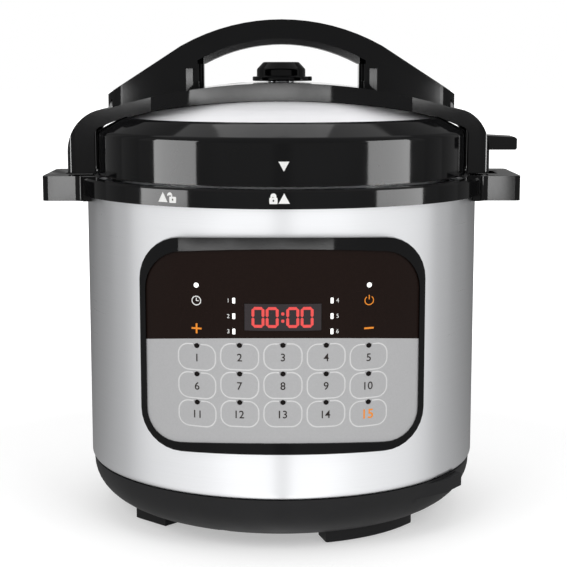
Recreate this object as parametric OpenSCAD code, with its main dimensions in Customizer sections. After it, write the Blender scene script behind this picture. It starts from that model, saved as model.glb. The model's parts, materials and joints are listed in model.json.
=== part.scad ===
// Electric pressure cooker, about 6 litres. Millimetres, +Z up, the front faces -Y.
// The origin is on the table, on the axis of the drum. Azimuths are counted from the front towards +X.

/* [Drum] */
// Outside diameter of the steel drum
drum_d = 265; // [250:1:290]
// Sheet thickness of the steel drum
drum_wall = 0.8; // [0.5:0.1:1.2]
// Height of the drum's upper edge over the pot's lip
drum_margin = 5.1; // [4:0.1:20]
// Radius of the curl at the lower edge of the drum
drum_curl = 4.5; // [2:0.5:6]
// Width of the flange that the drum turns in over the base cover
drum_flange_w = 28.5; // [20.5:0.5:29.5]

/* [Base cover] */
// Height of the underside over the table
foot_h = 6.5; // [5:0.5:9]
// Height of the base cover from its underside to the drum
base_h = 30.5; // [29:0.5:40]
// Width of the rounded lower edge
base_round_w = 35; // [28:0.5:42]
// Wall of the base cover
base_wall = 2.5; // [2:0.1:3]
// How far the drum's edge stands out over the base cover
base_step = 1.5; // [1:0.5:5]
// Distance of the wide feet's outer edge inside the base cover's wall
foot_inset = 24.5; // [19:0.5:29]
// Radial width of the wide feet
foot_w = 16; // [10:1:22]
// Arc that a wide foot covers, in degrees
foot_arc = 39; // [20:1:50]
// Length of the outer face of a narrow foot
block_foot_l = 28.5; // [18:0.5:32]
// Depth of a narrow foot
block_foot_w = 14; // [10:1:20]
// Thickness of the rubber pads
pad_t = 2.6; // [1.5:0.1:3.5]
// How far the pads stand out of the feet
pad_proud = 0.8; // [0.4:0.1:1.5]

/* [Lug] */
// Azimuth of the small lug on the base cover
lug_az = 52.8; // [40:0.2:70]
// Height of the lug
lug_h = 8.5; // [5:0.1:12]
// How far the lug's corner stands out of the base cover's wall
lug_out = 4; // [1:0.5:6]

/* [Upper rim and side handles] */
// Width of the rim outside the drum
rim_w = 5; // [4:0.5:9]
// Height of the rim's outer wall
rim_h = 11.5; // [9:0.5:16]
// How far a side handle stands out of the rim
side_handle_out = 22; // [16:0.5:38]
// Width of a side handle, front to back
side_handle_w = 70; // [56:1:90]
// Height of a side handle
side_handle_h = 16.5; // [12:0.5:24]
// Corner radius of a side handle
side_handle_corner = 4; // [3.5:0.5:12]
// Wall of a side handle
side_handle_wall = 3; // [2:0.1:4]
// Width of the slot for the lid's fin, across the handle
slot_w = 11.5; // [10.5:0.1:13]
// Clearance of the fin in the slot on each side
fin_clear = 1.5; // [0.5:0.1:3]

/* [Cooker liner] */
// Distance of the liner's collar inside the drum's outside
collar_inset = 10; // [9:0.5:11.5]
// Sheet thickness of the liner
liner_wall = 1.2; // [0.8:0.1:1.5]
// Number of bayonet lugs
lug_count = 6; // [4:1:8]
// Arc that a bayonet lug covers, in degrees
bayonet_arc = 27; // [16:1:28]
// How far the bayonet lugs reach in
bayonet_reach = 6; // [4:0.5:6.5]
// Thickness of the bayonet lugs
bayonet_t = 2.5; // [2:0.1:3]

/* [Inner pot] */
// Distance of the pot's inner wall inside the drum's outside
pot_inset = 22.5; // [21.5:0.5:28.5]
// Wall of the pot
pot_wall = 1.5; // [1:0.1:2]
// Height of the pot
pot_h = 157.6; // [142:0.1:190]
// Width of the pot's lip
lip_w = 3.5; // [2:0.5:4]
// Radius of the pot's lower corner
pot_corner = 14; // [6:1:24]

/* [Heating] */
// Distance of the heating plate's edge inside the pot's wall
plate_inset = 18; // [10:1:26]
// Thickness of the heating plate
plate_t = 10; // [8:0.5:11]
// Height of the heating plate's top over the liner's floor
plate_top = 12.8; // [12:0.1:16]
// Radius of the temperature sensor's cap
sensor_r = 13; // [9:0.5:16]
// Radius of the sensor's stem
sensor_stem_r = 4.95; // [3:0.05:6]
// Running clearance of the sensor's stem
sensor_clear = 0.05; // [0.02:0.01:0.1]
// Travel of the sensor's cap
sensor_travel = 3; // [2:0.1:4]

/* [Control panel] */
// Width of the bezel
bezel_w = 178.6; // [172:0.2:186]
// Height of the bezel
bezel_h = 134; // [132:0.5:138]
// Height of the bezel's lower edge over the drum's lower edge
bezel_z = 31; // [24:0.5:32]
// Corner radius of the bezel
bezel_corner = 26; // [16:1:34]
// How far the bezel stands out of the drum
bezel_proud = 4.7; // [4:0.1:6]
// Width of the bezel's frame at the sides
frame_w = 3.7; // [3:0.1:5]
// Width of the bezel's frame at the top and the bottom
frame_h = 7; // [4:0.1:8]
// Depth of the film below the bezel's frame
film_sunk = 1; // [0.4:0.1:1.5]
// Thickness of the film
film_t = 0.5; // [0.3:0.1:0.8]
// Thickness of the bezel's wall behind the film
carrier_t = 2.2; // [1.5:0.1:2.4]
// How far the rows step down for each millimetre that the panel curves back, so that they look level from above
row_droop = 0.2; // [0:0.01:0.25]

/* [Keys] */
// Width of a programme key
key_w = 23; // [18:0.2:24]
// Height of a programme key
key_h = 15.8; // [12:0.2:16]
// Corner radius of a key
key_corner = 6.4; // [3:0.1:7.5]
// Distance between columns
key_pitch_x = 26.4; // [25:0.1:27]
// Distance between rows
key_pitch_z = 17.75; // [17.2:0.05:18.5]
// Height of the lowest row over the bezel's lower edge
key_z = 25.5; // [24:0.5:28]
// Width of an upper key
upper_key_w = 20; // [14:0.5:22]
// Height of an upper key
upper_key_h = 11.4; // [8:0.2:11.6]
// Distance between the two upper keys on each side
upper_key_pitch = 17; // [14:0.5:18]
// Gap around a key
key_gap = 0.2; // [0.15:0.05:0.3]
// Travel of a key
key_travel = 0.5; // [0.2:0.1:0.7]
// Radius of the light dots
dot_r = 1.5; // [1:0.1:1.8]

/* [Display] */
// Width of the display
display_w = 46.6; // [40:0.2:50]
// Height of the display
display_h = 16.4; // [12:0.2:18]
// Height of the display's middle over the top row of keys
display_up = 24.3; // [20:0.1:28]
// Distance of the level bars from the middle of the display
bar_x = 29.8; // [28:0.1:34]
// Width of a level bar
bar_w = 1.7; // [1:0.1:2.5]
// Height of a level bar
bar_h = 3.4; // [2:0.1:5]
// Distance between level bars
bar_pitch = 9.5; // [7:0.1:11]

/* [Power inlet] */
// Width of the socket's cavity
socket_w = 24.2; // [23:0.1:25]
// Height of the socket's cavity
socket_h = 16.9; // [16:0.1:17]
// Depth of the socket's cavity
socket_depth = 17; // [16:0.5:18]
// Wall of the socket
socket_wall = 1.3; // [1:0.1:1.5]

/* [Lid] */
// Distance of the lid ring's outer wall inside the drum's outside
ring_inset = 7; // [5.5:0.5:8.5]
// Height of the ring's upright wall
ring_h = 28.2; // [26:0.2:32]
// Height of the ring's slope from its upright wall to the dome
ring_slope_h = 9; // [8:0.1:12]
// Radius of the round between the ring's wall and its slope
ring_round = 4; // [2:0.5:6]
// Wall of the ring
ring_wall = 2.5; // [1.5:0.1:3]
// Gap between the rim and the lid ring
lid_gap = 0.8; // [0.6:0.1:2]
// Sheet thickness of the lid shell
lid_wall = 1.5; // [1:0.1:2]
// Space between the liner's collar and the lid shell's skirt
skirt_gap = 7; // [6.7:0.1:7.5]
// How far inside the skirt the lid's dome begins
dome_inset = 10.5; // [8.5:0.5:13.5]
// Height of the dome over its edge
dome_rise = 15.5; // [13:0.5:17]
// Turn of the lid's fittings against the panel when the lid is locked, in degrees
lid_yaw = 0; // [-5:0.5:10]

/* [Lid bracket] */
// Height of the bracket's crown over the crown of the dome
bracket_rise = 8.5; // [7:0.5:12]
// Radius of the bracket's bow, seen from the front
bracket_bow = 391; // [380:1:440]
// How far the bracket's left arm stands out of the lid ring
arm_out = 19.5; // [18.5:0.5:22.5]
// How far the bracket's right arm, which has the fin, stands out of the lid ring
fin_arm_out = 15.5; // [14:0.5:22.5]
// Gap between the lid ring and the arms
arm_gap = 2; // [1:0.5:4]
// Width of the bracket's arms
arm_w = 44; // [36:1:52]
// How far the bracket bulges to the front
bulge_front = 50; // [46:1:56]
// How far the bracket bulges to the back
bulge_back = 62; // [58:1:66]
// Wall of the bracket
bracket_wall = 2.5; // [2:0.1:3]
// How far the lid-stand fin stands out of its arm
fin_out = 19; // [14:1:26]
// Width of the fin
fin_w = 24; // [16:1:28]
// Thickness of the fin
fin_t = 8.6; // [6:0.2:9]

/* [Lid handle] */
// Half length of the handle
handle_l = 117.5; // [112:0.5:120]
// Width of the handle
handle_w = 35; // [30:0.5:40]
// Height of the handle's end over the bracket
handle_end_h = 9.5; // [7:0.5:12]
// Height of the handle's crown over the bracket's crown
handle_rise = 41.7; // [38:0.1:50]
// Height of the finger gap at its middle
grip_gap = 25.2; // [22:0.2:32]
// Half width of the finger gap
grip_half = 52.3; // [46:0.1:60]
// Rounding of the handle's upright edges
handle_round = 11; // [6:0.5:14]
// Thickness of the handle's insert
insert_t = 4; // [3:0.1:5]

/* [Valves] */
// Distance of the valves behind the axis
valve_y = 40; // [34:0.5:42]
// Radius of the vent pipe
pipe_r = 4; // [3:0.1:5]
// Running clearance of the valve weight on the vent pipe
pipe_clear = 0.05; // [0.02:0.01:0.1]
// Radius of the valve weight
weight_r = 9; // [7:0.5:10]
// Radius of the valve knob's body
knob_r = 17.2; // [14:0.2:19]
// Height of the valve knob
knob_h = 13.3; // [12:0.1:16]
// Thickness of the valve knob's flange
knob_flange_t = 3.2; // [2:0.1:4]
// Distance of the float pin to the left of the vent pipe
float_x = 32; // [28:1:38]
// Radius of the float pin
float_r = 3; // [2:0.1:4]

/* [Fasteners] */
// Radius of the screws' shanks
screw_r = 1.5; // [1.2:0.1:1.8]
// Clearance around a screw's shank
screw_clear = 0.1; // [0.05:0.05:0.2]

/* [Hidden] */
$fn = 72;
arc_steps = 12;     // segments in a profile's arc
cut = 1;            // overlap of a cutting tool
body_clear = 0.3;   // clearance between bodies that move apart
seat_clear = 0.2;   // clearance of a part in its seat

// Heights, from the table up
base_top = foot_h + base_h;
drum_r = drum_d / 2;
base_r = drum_r - base_step;
drum_flange_r = drum_r - drum_flange_w;
foot_r = base_r - foot_inset;
lug_r = base_r + lug_out;
rim_r = drum_r + rim_w;
handle_end = rim_r + side_handle_out;
groove_h = 3;
ledge_t = 2.5;
flange_t = 1.2;
flange_w = 5;
collar_r = drum_r - collar_inset;
collar_out = collar_r + liner_wall;
flange_r = collar_out + flange_w;
handle_lift = 0.5;

// Cooker liner, heating plate and pot
liner_floor = base_top + 5;
pot_r = drum_r - pot_inset;
plate_r = pot_r - plate_inset;
chamber_r = pot_r + pot_wall + 1.7;
plate_z = liner_floor + liner_wall + plate_top - plate_t;
pot_z = plate_z + plate_t + body_clear;
pot_top = pot_z + pot_h;
rim_z = pot_top + drum_margin;
rim_top = rim_z + rim_h;
ledge_top = rim_z + groove_h + ledge_t;
side_handle_top = rim_top + handle_lift;
side_handle_bottom = side_handle_top - side_handle_h;
lip_r = pot_r + pot_wall + lip_w;
shoulder_top = pot_top - 4;
coil_r = 65;
coil_wire_r = 4;
liner_hole_r = coil_r + coil_wire_r + 5;
spider_z = base_top;
spider_t = 1.2;
spider_r = 62;
spider_reach = drum_flange_r - 4;
post_ring_r = drum_flange_r - 12;

// Lid, from its underside up
lid_z = rim_top + lid_gap;
ring_r = drum_r - ring_inset;
skirt_r = collar_r - skirt_gap;
dome_r = skirt_r - dome_inset;
bayonet_z = ledge_top - 3;
tab_t = 3;
tab_gap = 1;
tab_z = bayonet_z - tab_gap - tab_t;
tab_reach = collar_r - 1;
dome_edge_z = lid_z + ring_h + ring_slope_h;
dome_top = dome_edge_z + dome_rise;
dome_sphere = (dome_r * dome_r + dome_rise * dome_rise) / (2 * dome_rise);
shoulder_z = dome_edge_z - 12.5;
ring_lip_w = 5;

// Bracket and handle
arm_r = ring_r + arm_out;
fin_arm_r = ring_r + fin_arm_out;
fin_r = fin_arm_r + fin_out;
arm_start = handle_l - 0.5;
arm_corner_h = 32;
bracket_crown = dome_top + bracket_rise;
arm_bottom = side_handle_top + 0.7;
bracket_gap = 0.5;
fin_top_z = lid_z + 25.5;
fin_bottom_z = fin_top_z - fin_t - 1.2;
slot_l = fin_w + 2 * fin_clear;
slot_x = rim_r - 2;      // inner edge of the slots

// Control panel
bezel_z0 = base_top + bezel_z;
bezel_z1 = bezel_z0 + bezel_h;
bezel_out = drum_r + bezel_proud;
film_out = bezel_out - film_sunk;
film_in = film_out - film_t;
carrier_in = film_in - carrier_t;
window_half_w = bezel_w / 2 - 9;
window_margin = 12;
board_out = chamber_r + 8;
board_t = 1.2;
switch_h = 4;
key_flange_t = 1.4;
flange_in = carrier_in - body_clear - key_flange_t;
key_flange_w = (min(key_pitch_z - key_h, key_pitch_x - key_w) - body_clear) / 2;

// Three rows of five programme keys, then two upper keys on each side of the display
columns = 5;
rows = 3;
upper_x = (columns - 1) / 2 * key_pitch_x;
display_z = bezel_z0 + key_z + (rows - 1) * key_pitch_z + display_up;
upper_key_z = [for (side = [-1, 1]) display_z + 2.2 + side * upper_key_pitch / 2];

// Base cover details
screw_azimuths = [-20, 75, 158, 255];
screw_ring_r = drum_flange_r + 6;
wide_foot_az = 34.6;
block_foot_az = -55.4;
block_foot_turn = -43;
block_foot_r = base_r - 27.5;
foot_top = foot_h + base_wall + 3;
screw_head_z = foot_h + 6;
pocket_w = 34;
pocket_z = [foot_h + 2.5, foot_h + 26.5];
inlet_z = (pocket_z[0] + pocket_z[1]) / 2;
inlet_y = base_r - 25;
socket_flange_t = 2;
boss_r = 5;
cable_y = drum_flange_r + 8;

// Power board, behind the front screws
power_board_w = 108;
power_board_d = 49;
power_board_y = screw_ring_r * cos(screw_azimuths[0]) - boss_r - 1.4;
power_board_t = 1.6;
post_inset = 6;
post_r = 3.5;
board_z = foot_h + base_wall + 6;
part_h = 15;

KEYS = [for (i = [1 : rows * columns]) str("key_", i)];

// ---------- helpers ----------

// Points of an elliptic arc about (cx, cy)
function arc(cx, cy, a, b, from, to, steps = arc_steps) =
    [for (i = [0 : steps]) let (t = from + (to - from) * i / steps) [cx + a * cos(t), cy + b * sin(t)]];

// How far a circle of radius r falls back at distance x from its middle
function recess(r, x) = r - sqrt(r * r - x * x);

// Height of the dome's outside at radius r
function dome_z(r) = dome_top - recess(dome_sphere, r);

// Height of the bracket's top at distance x from the middle
function bracket_z(x) = bracket_crown - x * x / (2 * bracket_bow);

// A ring sector between two radii, two heights and two azimuths
module sector(r0, r1, z0, z1, az0, az1) {
    translate([0, 0, z0]) rotate([0, 0, az0 - 90])
        rotate_extrude(angle = az1 - az0) translate([r0, 0]) square([r1 - r0, z1 - z0]);
}

// A tube about the drum's axis
module tube(r0, r1, z0, z1) {
    difference() {
        translate([0, 0, z0]) cylinder(r = r1, h = z1 - z0);
        translate([0, 0, z0 - cut]) cylinder(r = r0, h = z1 - z0 + 2 * cut);
    }
}

// A rectangle with round corners about the origin
module round_rect(w, h, r) {
    square([w - 2 * r, h], center = true);
    square([w, h - 2 * r], center = true);
    for (x = [-1, 1], y = [-1, 1]) translate([x * (w / 2 - r), y * (h / 2 - r)]) circle(r = r);
}

// Puts a plan drawn in X and Z at the front of the drum and gives it depth from y0 to y1 ahead of the axis
module front_prism(y0, y1) {
    translate([0, -y0, 0]) rotate([90, 0, 0]) linear_extrude(y1 - y0) children();
}

// A path with its corners cut, so that it bends softly
function eased(p) = concat([p[0]],
    [for (i = [0 : len(p) - 2], t = [0.25, 0.75]) p[i] * (1 - t) + p[i + 1] * t], [p[len(p) - 1]]);

// A round wire along a path; no stretch of the path may run along the direction side
module swept(path, r, sides, side) {
    n = len(path);
    turn = 360 / sides;
    points = [for (i = [0 : n - 1]) let (
        ahead = path[min(i + 1, n - 1)] - path[max(i - 1, 0)],
        across = cross(ahead, side),
        u = across / norm(across),
        v = cross(ahead, u) / norm(ahead))
        for (k = [0 : sides - 1]) path[i] + r * (cos(turn * k) * u + sin(turn * k) * v)];
    walls = [for (i = [0 : n - 2], k = [0 : sides - 1])
        let (a = i * sides + k, b = i * sides + (k + 1) % sides) [a, a + sides, b + sides, b]];
    polyhedron(points, concat([[for (k = [0 : sides - 1]) k]], walls,
        [[for (k = [sides - 1 : -1 : 0]) (n - 1) * sides + k]]));
}

// An insulated wire along a list of points
module wire(points, r) {
    swept(eased(eased(points)), r, 10, [1, 0.1, 0.2]);
}

// Turns the lid's fittings
module on_lid() {
    rotate([0, 0, lid_yaw]) children();
}

// Copies at the base screws
module at_screws() {
    for (az = screw_azimuths) rotate([0, 0, az]) translate([0, -screw_ring_r, 0]) children();
}

// ---------- base ----------

// Outside of the base cover, made smaller by an inset
module base_solid(inset, z0, z1) {
    rotate_extrude() polygon(concat(
        [[0, z1], [base_r - inset, z1]],
        [for (p = arc(base_r - base_round_w, base_top - 2, base_round_w - inset, base_h - 2 - inset, 0, -90))
            [p[0], max(p[1], z0)]],
        [[0, z0]]));
}

// Plan of a wide foot
module wide_foot(inset) {
    a = inset / foot_r * 180 / PI;
    rotate([0, 0, -90 - foot_arc / 2 + a]) difference() {
        intersection() {
            circle(r = foot_r - inset);
            polygon([[0, 0], [2 * foot_r, 0],
                [2 * foot_r * cos(foot_arc / 2 - a), 2 * foot_r * sin(foot_arc / 2 - a)],
                [2 * foot_r * cos(foot_arc - 2 * a), 2 * foot_r * sin(foot_arc - 2 * a)]]);
        }
        circle(r = foot_r - foot_w + inset);
    }
}

// Plan of a narrow foot
module block_foot(inset) {
    rotate([0, 0, block_foot_turn]) translate([-24, -block_foot_r + block_foot_w / 2])
        square([block_foot_l - 2 * inset, block_foot_w - 2 * inset], center = true);
}

// The four feet, the back pair opposite the front pair
module feet_plan(inset) {
    for (turn = [0, 180]) rotate([0, 0, turn]) {
        rotate([0, 0, wide_foot_az]) wide_foot(inset);
        block_foot(inset);
    }
}

// The lug is a block with two flat faces that meet at an upright edge
module lug_plan() {
    rotate([0, 0, lug_az]) polygon([[-24.8, 7.7 - lug_r], [0, -lug_r], [20.5, 0.8 - lug_r], [22, 16 - lug_r]]);
}

module pocket_block(side) {
    translate([-pocket_w / 2 - side, inlet_y - 4.5 + base_wall - side, pocket_z[0] - side])
        cube([pocket_w + 2 * side, 40, pocket_z[1] - pocket_z[0] + 2 * side]);
}

module base_cover() {
    color("#2b2b2d") difference() {
        union() {
            difference() {
                union() {
                    base_solid(0, foot_h, base_top);
                    translate([0, 0, base_top - 1.2 - lug_h]) linear_extrude(lug_h) lug_plan();
                }
                base_solid(base_wall, foot_h + base_wall, base_top + cut);
            }
            intersection() {
                base_solid(0.1, foot_h, base_top);
                union() {
                    pocket_block(base_wall);
                    at_screws() cylinder(r = boss_r, h = base_top);
                    for (x = [-1, 1], y = [post_inset, power_board_d - post_inset])
                        translate([x * (power_board_w / 2 - post_inset), y - power_board_y, 0])
                            cylinder(r = post_r, h = board_z);
                }
            }
            translate([0, 0, pad_proud]) linear_extrude(foot_top - pad_proud) feet_plan(0);
        }
        pocket_block(0);
        translate([0, inlet_y - 20, inlet_z]) rotate([90, 0, 0])
            linear_extrude(60, center = true)
                square([socket_w + 2 * (socket_wall + seat_clear), socket_h + 2 * (socket_wall + seat_clear)], center = true);
        translate([0, 0, -cut]) linear_extrude(pad_t + cut) feet_plan(1.5);
        at_screws() {
            cylinder(r = screw_r + screw_clear, h = base_top + cut);
            cylinder(r = 2 * screw_r + 1, h = screw_head_z + 3);
        }
        for (i = [0 : 9]) rotate([0, 0, 36 * i + 18]) translate([48, 0, foot_h]) cube([34, 3, 10], center = true);
    }
}

module rubber_feet() {
    color("#1c1c1d") linear_extrude(pad_t) feet_plan(1.5);
}

module base_screws() {
    color("#9a9a98") at_screws() {
        translate([0, 0, screw_head_z]) {
            cylinder(r = 2 * screw_r + 0.6, h = 3);
            cylinder(r = screw_r, h = base_top - screw_head_z + drum_wall + 2);
        }
    }
}

// ---------- drum ----------

module drum() {
    color("#c9cbcd") difference() {
        rotate_extrude() polygon(concat(
            [[drum_r, rim_z + groove_h], [drum_r - drum_wall, rim_z + groove_h]],
            arc(drum_r - drum_curl, base_top + drum_curl, drum_curl - drum_wall, drum_curl - drum_wall, 0, -90),
            [[drum_flange_r, base_top + drum_wall], [drum_flange_r, base_top]],
            arc(drum_r - drum_curl, base_top + drum_curl, drum_curl, drum_curl, -90, 0)));
        front_prism(drum_r / 2, drum_r + cut)
            translate([0, (bezel_z0 + bezel_z1) / 2])
                round_rect(2 * window_half_w, bezel_h - 2 * window_margin, bezel_corner - 6);
        at_screws() translate([0, 0, base_top - cut]) cylinder(r = screw_r + screw_clear, h = 3 * cut);
        translate([0, -cable_y, base_top - cut]) cylinder(r = 3, h = 3 * cut);
    }
}

// ---------- upper rim ----------

// Plan of both side handles; the front and back faces run into the rim with a round
module side_handles_plan(inset) {
    blend = 6;
    reach = rim_r + blend - 0.1;
    half = side_handle_w / 2 - inset;
    corner = side_handle_corner - inset;
    for (turn = [0, 180]) rotate([0, 0, turn]) {
        translate([rim_r / 2, -half]) square([handle_end - inset - corner - rim_r / 2, 2 * half]);
        translate([rim_r / 2, corner - half])
            square([handle_end - inset - rim_r / 2, 2 * (half - corner)]);
        for (y = [-1, 1]) translate([handle_end - inset - corner, y * (half - corner)]) circle(r = corner);
        x = sqrt(reach * reach - (half + blend) * (half + blend));
        if (inset == 0) for (y = [-1, 1]) difference() {
            polygon([[x, y * half], [x * rim_r / reach, y * (half + blend) * rim_r / reach], [rim_r / 2, y * half]]);
            translate([x, y * (half + blend)]) circle(r = blend);
        }
    }
}

module slot_plan(grow) {
    for (x = [-1, 1]) translate([x * (slot_x + slot_w / 2), 0])
        square([slot_w + 2 * grow, slot_l + 2 * grow], center = true);
}

module upper_rim() {
    color("#1f1f21") difference() {
        union() {
            rotate_extrude() polygon([
                [rim_r, rim_z], [rim_r, rim_top - 1.2], [rim_r - 1.2, rim_top], [collar_out, rim_top],
                [collar_out, rim_z]]);
            translate([0, 0, side_handle_bottom]) linear_extrude(side_handle_h) side_handles_plan(0);
        }
        translate([0, 0, side_handle_bottom - cut]) linear_extrude(side_handle_h - side_handle_wall + cut)
            difference() {
                side_handles_plan(side_handle_wall);
                circle(r = rim_r + side_handle_wall - 1);
                slot_plan(side_handle_wall);
            }
        translate([0, 0, side_handle_bottom - cut]) linear_extrude(side_handle_h + 2 * cut) slot_plan(0);
        translate([0, 0, side_handle_bottom - cut])
            cylinder(r = drum_r + seat_clear, h = rim_z + groove_h - side_handle_bottom + cut);
        translate([0, 0, rim_z]) cylinder(r = collar_out + seat_clear, h = 2 * rim_h);
        translate([0, 0, ledge_top]) cylinder(r = flange_r + seat_clear, h = rim_h);
    }
}

// ---------- cooker liner and heating ----------

module cooker_liner() {
    color("#b8babc") {
        rotate_extrude() polygon([
            [liner_hole_r, liner_floor], [chamber_r - 8, liner_floor], [chamber_r + liner_wall, liner_floor + 10],
            [chamber_r + liner_wall, shoulder_top - 4], [collar_out, shoulder_top], [collar_out, ledge_top],
            [flange_r, ledge_top], [flange_r, ledge_top + flange_t], [collar_r, ledge_top + flange_t],
            [collar_r, shoulder_top + 0.6], [chamber_r, shoulder_top - 3.4], [chamber_r, liner_floor + 10.6],
            [chamber_r - 8.6, liner_floor + liner_wall], [liner_hole_r, liner_floor + liner_wall]]);
        for (i = [0 : lug_count - 1]) {
            az = 360 / lug_count * i;
            sector(collar_r - bayonet_reach, collar_r + liner_wall / 2, bayonet_z, bayonet_z + bayonet_t,
                az - bayonet_arc / 2, az + bayonet_arc / 2);
        }
    }
}

module heating_plate() {
    color("#a9abad") difference() {
        union() {
            translate([0, 0, plate_z]) cylinder(r = plate_r, h = plate_t);
            translate([0, 0, plate_z]) rotate_extrude() translate([coil_r, 0]) circle(r = coil_wire_r, $fn = 32);
            for (az = [60, 180, 300]) rotate([0, 0, az]) translate([0, 48, spider_z + spider_t])
                cylinder(r = 4, h = plate_z - spider_z - spider_t);
        }
        translate([0, 0, plate_z - 2 * coil_wire_r]) cylinder(r = sensor_r + 4, h = plate_t + 4 * coil_wire_r);
    }
}

module heater_terminals() {
    color("#e4e0d6") for (az = [-9, 9]) rotate([0, 0, az]) translate([0, coil_r, 0]) {
        translate([0, 0, plate_z - coil_wire_r - 6]) cylinder(r = 3, h = 6);
        translate([-0.4, -3, plate_z - coil_wire_r - 14]) cube([0.8, 6, 8]);
    }
}

module pressure_plate() {
    color("#8f9296") difference() {
        union() {
            translate([0, 0, spider_z]) cylinder(r = spider_r - 6, h = spider_t);
            for (az = [60, 180, 300]) rotate([0, 0, az]) translate([-9, spider_r / 2, spider_z])
                cube([18, spider_reach - spider_r / 2, spider_t]);
            for (az = [60, 180, 300]) rotate([0, 0, az]) translate([0, post_ring_r, spider_z])
                cylinder(r = 4, h = liner_floor - spider_z);
            translate([0, 0, spider_z]) cylinder(r = sensor_stem_r + 2.5, h = 6);
        }
        translate([0, 0, spider_z - cut]) cylinder(r = sensor_stem_r + sensor_clear, h = 9);
    }
}

sensor_top = pot_z - body_clear;
sensor_cap_h = 5;
sensor_cap_z = sensor_top - sensor_cap_h;

module sensor_button() {
    color("#d0d2d4") {
        translate([0, 0, sensor_cap_z]) cylinder(r = sensor_r, h = sensor_cap_h);
        translate([0, 0, spider_z - 2]) cylinder(r = sensor_stem_r, h = sensor_cap_z - spider_z + 2);
    }
}

// The spring stands on the pressure plate around its collar and carries the sensor's cap
module sensor_spring() {
    wire_r = 0.5;
    coil = sensor_stem_r + 4.2;
    turns = 5;
    sides = 6;
    steps = 18;
    z0 = spider_z + spider_t + wire_r + 0.05;
    z1 = sensor_cap_z - wire_r - 0.05;
    n = turns * steps;
    points = [for (i = [0 : n], j = [0 : sides - 1])
        let (t = 360 * i / steps, u = 360 * j / sides, r = coil + wire_r * cos(u))
        [r * cos(t), r * sin(t), z0 + (z1 - z0) * i / n + wire_r * sin(u)]];
    walls = [for (i = [0 : n - 1], j = [0 : sides - 1]) let (k = (j + 1) % sides)
        [i * sides + j, i * sides + k, (i + 1) * sides + k, (i + 1) * sides + j]];
    color("#8d9094") polyhedron(points, concat(walls,
        [[for (j = [0 : sides - 1]) sides - 1 - j], [for (j = [0 : sides - 1]) n * sides + j]]));
}

module pressure_switch() {
    color("#3a3a3c") translate([0, -30, spider_z - 11]) {
        translate([-10, -7, 0]) cube([20, 14, 9]);
        translate([0, 0, 9]) cylinder(r = 2, h = 2);
        for (x = [-8, 8]) translate([x, 0, 9]) cylinder(r = 1.2, h = 2);
    }
}

module thermal_fuse() {
    color("#d8d4c8") translate([-8, -sensor_r - 19, plate_z - 3]) rotate([0, 90, 0]) cylinder(r = 3, h = 16);
}

// ---------- electronics ----------

module power_board() {
    color("#2f6b3c") translate([-power_board_w / 2, -power_board_y, board_z])
        cube([power_board_w, power_board_d, power_board_t]);
}

// Relay, transformer, filter and heat sink, each as shares of the board and of the parts' height
BLOCKS = [[0.09, 0.08, 0.18, 0.31, 1], [0.31, 0.03, 0.22, 0.41, 1.13], [0.72, 0.08, 0.13, 0.2, 0.8],
    [0.13, 0.58, 0.15, 0.2, 0.6], [0.39, 0.55, 0.28, 0.06, 0.93]];
// Capacitors: place, radius and height as such shares
CANS = [[0.61, 0.19, 0.055, 1], [0.74, 0.67, 0.028, 0.6], [0.81, 0.67, 0.028, 0.6], [0.89, 0.67, 0.028, 0.6]];

module board_parts() {
    w = power_board_w;
    d = power_board_d;
    color("#3b5f9a") translate([-w / 2, -power_board_y, board_z + power_board_t]) {
        for (b = BLOCKS) translate([b[0] * w, b[1] * d, 0]) cube([b[2] * w, b[3] * d, b[4] * part_h]);
        for (c = CANS) translate([c[0] * w, c[1] * d, 0]) cylinder(r = c[2] * w, h = c[3] * part_h);
    }
}

board_az = 40;

module at_panel_screws() {
    for (x = [-1, 1], z = [bezel_z0 + 22, bezel_z1 - 19])
        translate([x * (window_half_w - 9), 0, z]) rotate([90, 0, 0]) children();
}

module control_board() {
    color("#2f6b3c") difference() {
        sector(board_out - board_t, board_out, bezel_z0 + window_margin, bezel_z1 - window_margin,
            -board_az, board_az);
        at_panel_screws() cylinder(r = screw_r + screw_clear, h = drum_r);
    }
}

// Centre of a programme key, counted from 0, along each row from the top left
function key_place(i) =
    let (x = (i % columns - (columns - 1) / 2) * key_pitch_x)
    [x, bezel_z0 + key_z + (rows - 1 - floor(i / columns)) * key_pitch_z - row_droop * recess(film_out, x)];

// Centre of an upper key: side is -1 or 1, level is 0 or 1
function upper_place(side, level) =
    [side * upper_x, upper_key_z[level] - row_droop * recess(film_out, upper_x)];

KEY_PLACES = [for (i = [0 : rows * columns - 1]) key_place(i)];
UPPER_PLACES = [for (level = [0, 1], side = [-1, 1]) upper_place(side, level)];

// Light places: a dot at the top of each programme key, two round lights and six bars
function dot_place(p) = [p[0], p[1] + key_h / 2 - 0.6];
light_z = upper_key_z[1] + upper_key_h / 2 + dot_r + 0.4;
BAR_Z = [for (i = [-1 : 1]) display_z + 0.35 + i * bar_pitch];

module key_switches() {
    color("#5b5b5e") for (p = concat(KEY_PLACES, UPPER_PLACES)) {
        y = sqrt(board_out * board_out - p[0] * p[0]);
        difference() {
            translate([p[0], -y + 2, p[1]]) rotate([90, 0, 0]) cylinder(r = 3, h = 2 + switch_h, $fn = 64);
            translate([0, 0, bezel_z0]) cylinder(r = board_out, h = bezel_z1 - bezel_z0, $fn = 360);
        }
    }
}

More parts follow.
